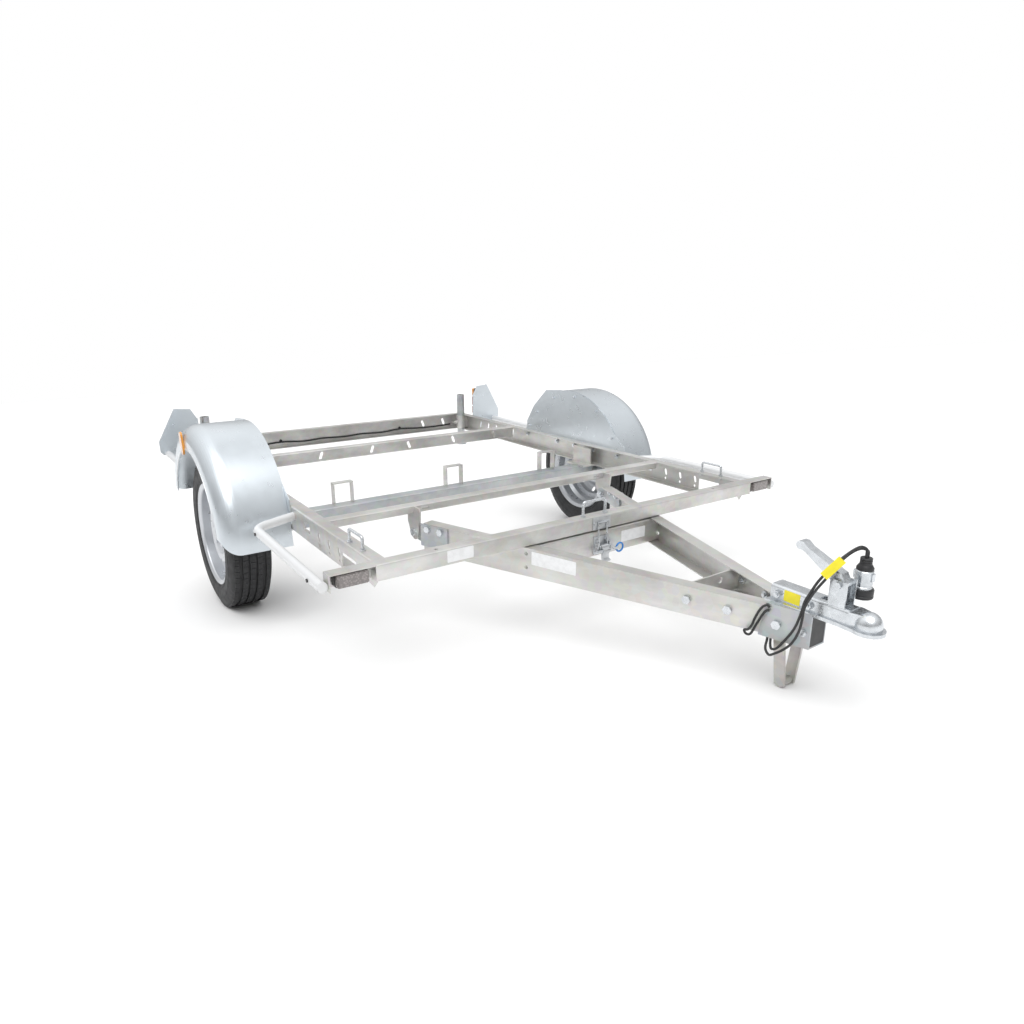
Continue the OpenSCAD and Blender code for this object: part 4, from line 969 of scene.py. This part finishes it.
class TRAILER_OT_trim(bpy.types.Operator):
    """Adds the bare labels, a bright bead along each mudguard's rolled edge as a painted
    highlight, and the nuts of their plates
    """
    bl_idname = "trailer.trim"
    bl_label = "Trim"

    def execute(self, context):
        for name, body, finish, origin, run, out, w, h in LABELS:
            label = slabs(axes(origin, run, UP, out), (w, h, 2.5, -0.3, 0.25))
            new_piece(name, to_mesh(name, label), body, finish)
        spots = []
        for side, label in SIDES:
            turn = axes((GUARD_X, side * GUARD_IN, WHEEL[2]), AHEAD, UP, (0, side, 0))
            # A bead in pale bright zinc along the arch's rolled edge: a painted highlight.
            bm = bmesh.new()
            arc_tube(bm, *EDGE, turn)
            new_piece("mudguard_edge_" + label, to_mesh("mudguard_edge_highlight", bm), "bed",
                      "edge")
            for angle in NUT_ANGLES:
                a = math.radians(angle)
                spots.append(axes((GUARD_X + NUT_R * math.cos(a), side * RAIL_Y,
                                   WHEEL[2] + NUT_R * math.sin(a)), AHEAD, UP, (0, -side, 0)))
        made = repeat("plate_nuts", hex_nut_shape(11, 5.5, 2.8), spots, "plated")
        new_piece("plate_nuts", made, "bed", None)
        return {"FINISHED"}


# ---- Stage


def stage_material(name, tone):
    r = Recipe(name)
    r.colour((tone, tone, tone))
    r.rough(0.9)
    r.bsdf.inputs["Specular IOR Level"].default_value = 0.1
    return r.mat


# Half the floor's side, and the sky's strength at the horizon and overhead, as shares
FLOOR_HALF = 60
SKY_LOW, SKY_HIGH = 0.42, 1.6
SKY_TOP = 0.9

# Two broad lights: name, share of the key strength, spread in degrees and place
LIGHTS = (("broad_key", 1.0, 55, (2.2, -1.6, 5.0)), ("soft_fill", 0.25, 80, (-3.4, -2.0, 3.4)))


def sky_world(strength):
    """A sky that is paler overhead, and plain white where the camera sees it."""
    world = bpy.data.worlds.new("even_sky")
    world.use_nodes = True
    tree = world.node_tree
    sky = tree.nodes["Background"]
    sky.inputs["Color"].default_value = (1, 1, 1, 1)
    coord = tree.nodes.new("ShaderNodeTexCoord")
    split = tree.nodes.new("ShaderNodeSeparateXYZ")
    grade = tree.nodes.new("ShaderNodeMapRange")
    grade.inputs["From Min"].default_value = 0.0
    grade.inputs["From Max"].default_value = SKY_TOP
    grade.inputs["To Min"].default_value = strength * SKY_LOW
    grade.inputs["To Max"].default_value = strength * SKY_HIGH
    white = tree.nodes.new("ShaderNodeBackground")
    white.inputs["Color"].default_value = (1, 1, 1, 1)
    white.inputs["Strength"].default_value = 1.0
    rays = tree.nodes.new("ShaderNodeLightPath")
    seen = tree.nodes.new("ShaderNodeMath")
    seen.operation = "MAXIMUM"
    mix = tree.nodes.new("ShaderNodeMixShader")
    wire(tree,
         (coord.outputs["Generated"], split.inputs["Vector"]),
         (split.outputs["Z"], grade.inputs["Value"]),
         (grade.outputs["Result"], sky.inputs["Strength"]),
         (rays.outputs["Is Camera Ray"], seen.inputs[0]),
         (rays.outputs["Is Transmission Ray"], seen.inputs[1]),
         (seen.outputs["Value"], mix.inputs["Fac"]),
         (sky.outputs["Background"], mix.inputs[1]),
         (white.outputs["Background"], mix.inputs[2]),
         (mix.outputs["Shader"], tree.nodes["World Output"].inputs["Surface"]))
    return world


class TRAILER_OT_stage(bpy.types.Operator):
    """Sets the pale floor, the even sky and the soft lights"""
    bl_idname = "trailer.stage"
    bl_label = "Stage"

    def execute(self, context):
        scene = context.scene
        values = scene.trailer_stage
        bm = bmesh.new()
        bmesh.ops.create_grid(bm, x_segments=2, y_segments=2, size=FLOOR_HALF)
        mesh = bpy.data.meshes.new("floor")
        bm.to_mesh(mesh)
        bm.free()
        floor = bpy.data.objects.new("floor", mesh)
        scene.collection.objects.link(floor)
        mesh.materials.append(stage_material("pale_floor", values.floor_tone))
        scene.world = sky_world(values.sky_strength)
        for name, share, spread, where in LIGHTS:
            lamp = bpy.data.lights.new(name, "SUN")
            lamp.energy = values.key_strength * share
            lamp.angle = math.radians(spread)
            made = bpy.data.objects.new(name, lamp)
            made.location = where
            made.rotation_euler = (-Vector(where)).to_track_quat("-Z", "Y").to_euler()
            scene.collection.objects.link(made)
        scene.view_settings.view_transform = "Standard"
        return {"FINISHED"}


# ---- Panel and registration


class TRAILER_PT_panel(bpy.types.Panel):
    bl_label = "Trailer chassis"
    bl_idname = "TRAILER_PT_panel"
    bl_space_type = "VIEW_3D"
    bl_region_type = "UI"
    bl_category = "Trailer"

    def draw(self, context):
        for group in (context.scene.trailer_sizes, context.scene.trailer_stage):
            box = self.layout.box()
            for name in group.bl_rna.properties.keys():
                if name not in ("rna_type", "name"):
                    box.prop(group, name)
        for step in STEPS:
            self.layout.operator(step.bl_idname)


STEPS = (TRAILER_OT_camera, TRAILER_OT_finishes, TRAILER_OT_cords, TRAILER_OT_tyres,
         TRAILER_OT_lamps, TRAILER_OT_plug, TRAILER_OT_trim, TRAILER_OT_stage)
CLASSES = (TrailerSizes, TrailerStage, *STEPS, TRAILER_PT_panel)


def register():
    for kind in CLASSES:
        bpy.utils.register_class(kind)
    bpy.types.Scene.trailer_sizes = bpy.props.PointerProperty(type=TrailerSizes)
    bpy.types.Scene.trailer_stage = bpy.props.PointerProperty(type=TrailerStage)


def unregister():
    del bpy.types.Scene.trailer_stage
    del bpy.types.Scene.trailer_sizes
    for kind in reversed(CLASSES):
        bpy.utils.unregister_class(kind)


def main():
    register()
    bpy.ops.trailer.camera()
    bpy.ops.trailer.finishes()
    bpy.ops.trailer.cords()
    bpy.ops.trailer.tyres()
    bpy.ops.trailer.lamps()
    bpy.ops.trailer.plug()
    bpy.ops.trailer.trim()
    bpy.ops.trailer.stage()


if __name__ == "__main__":
    main()
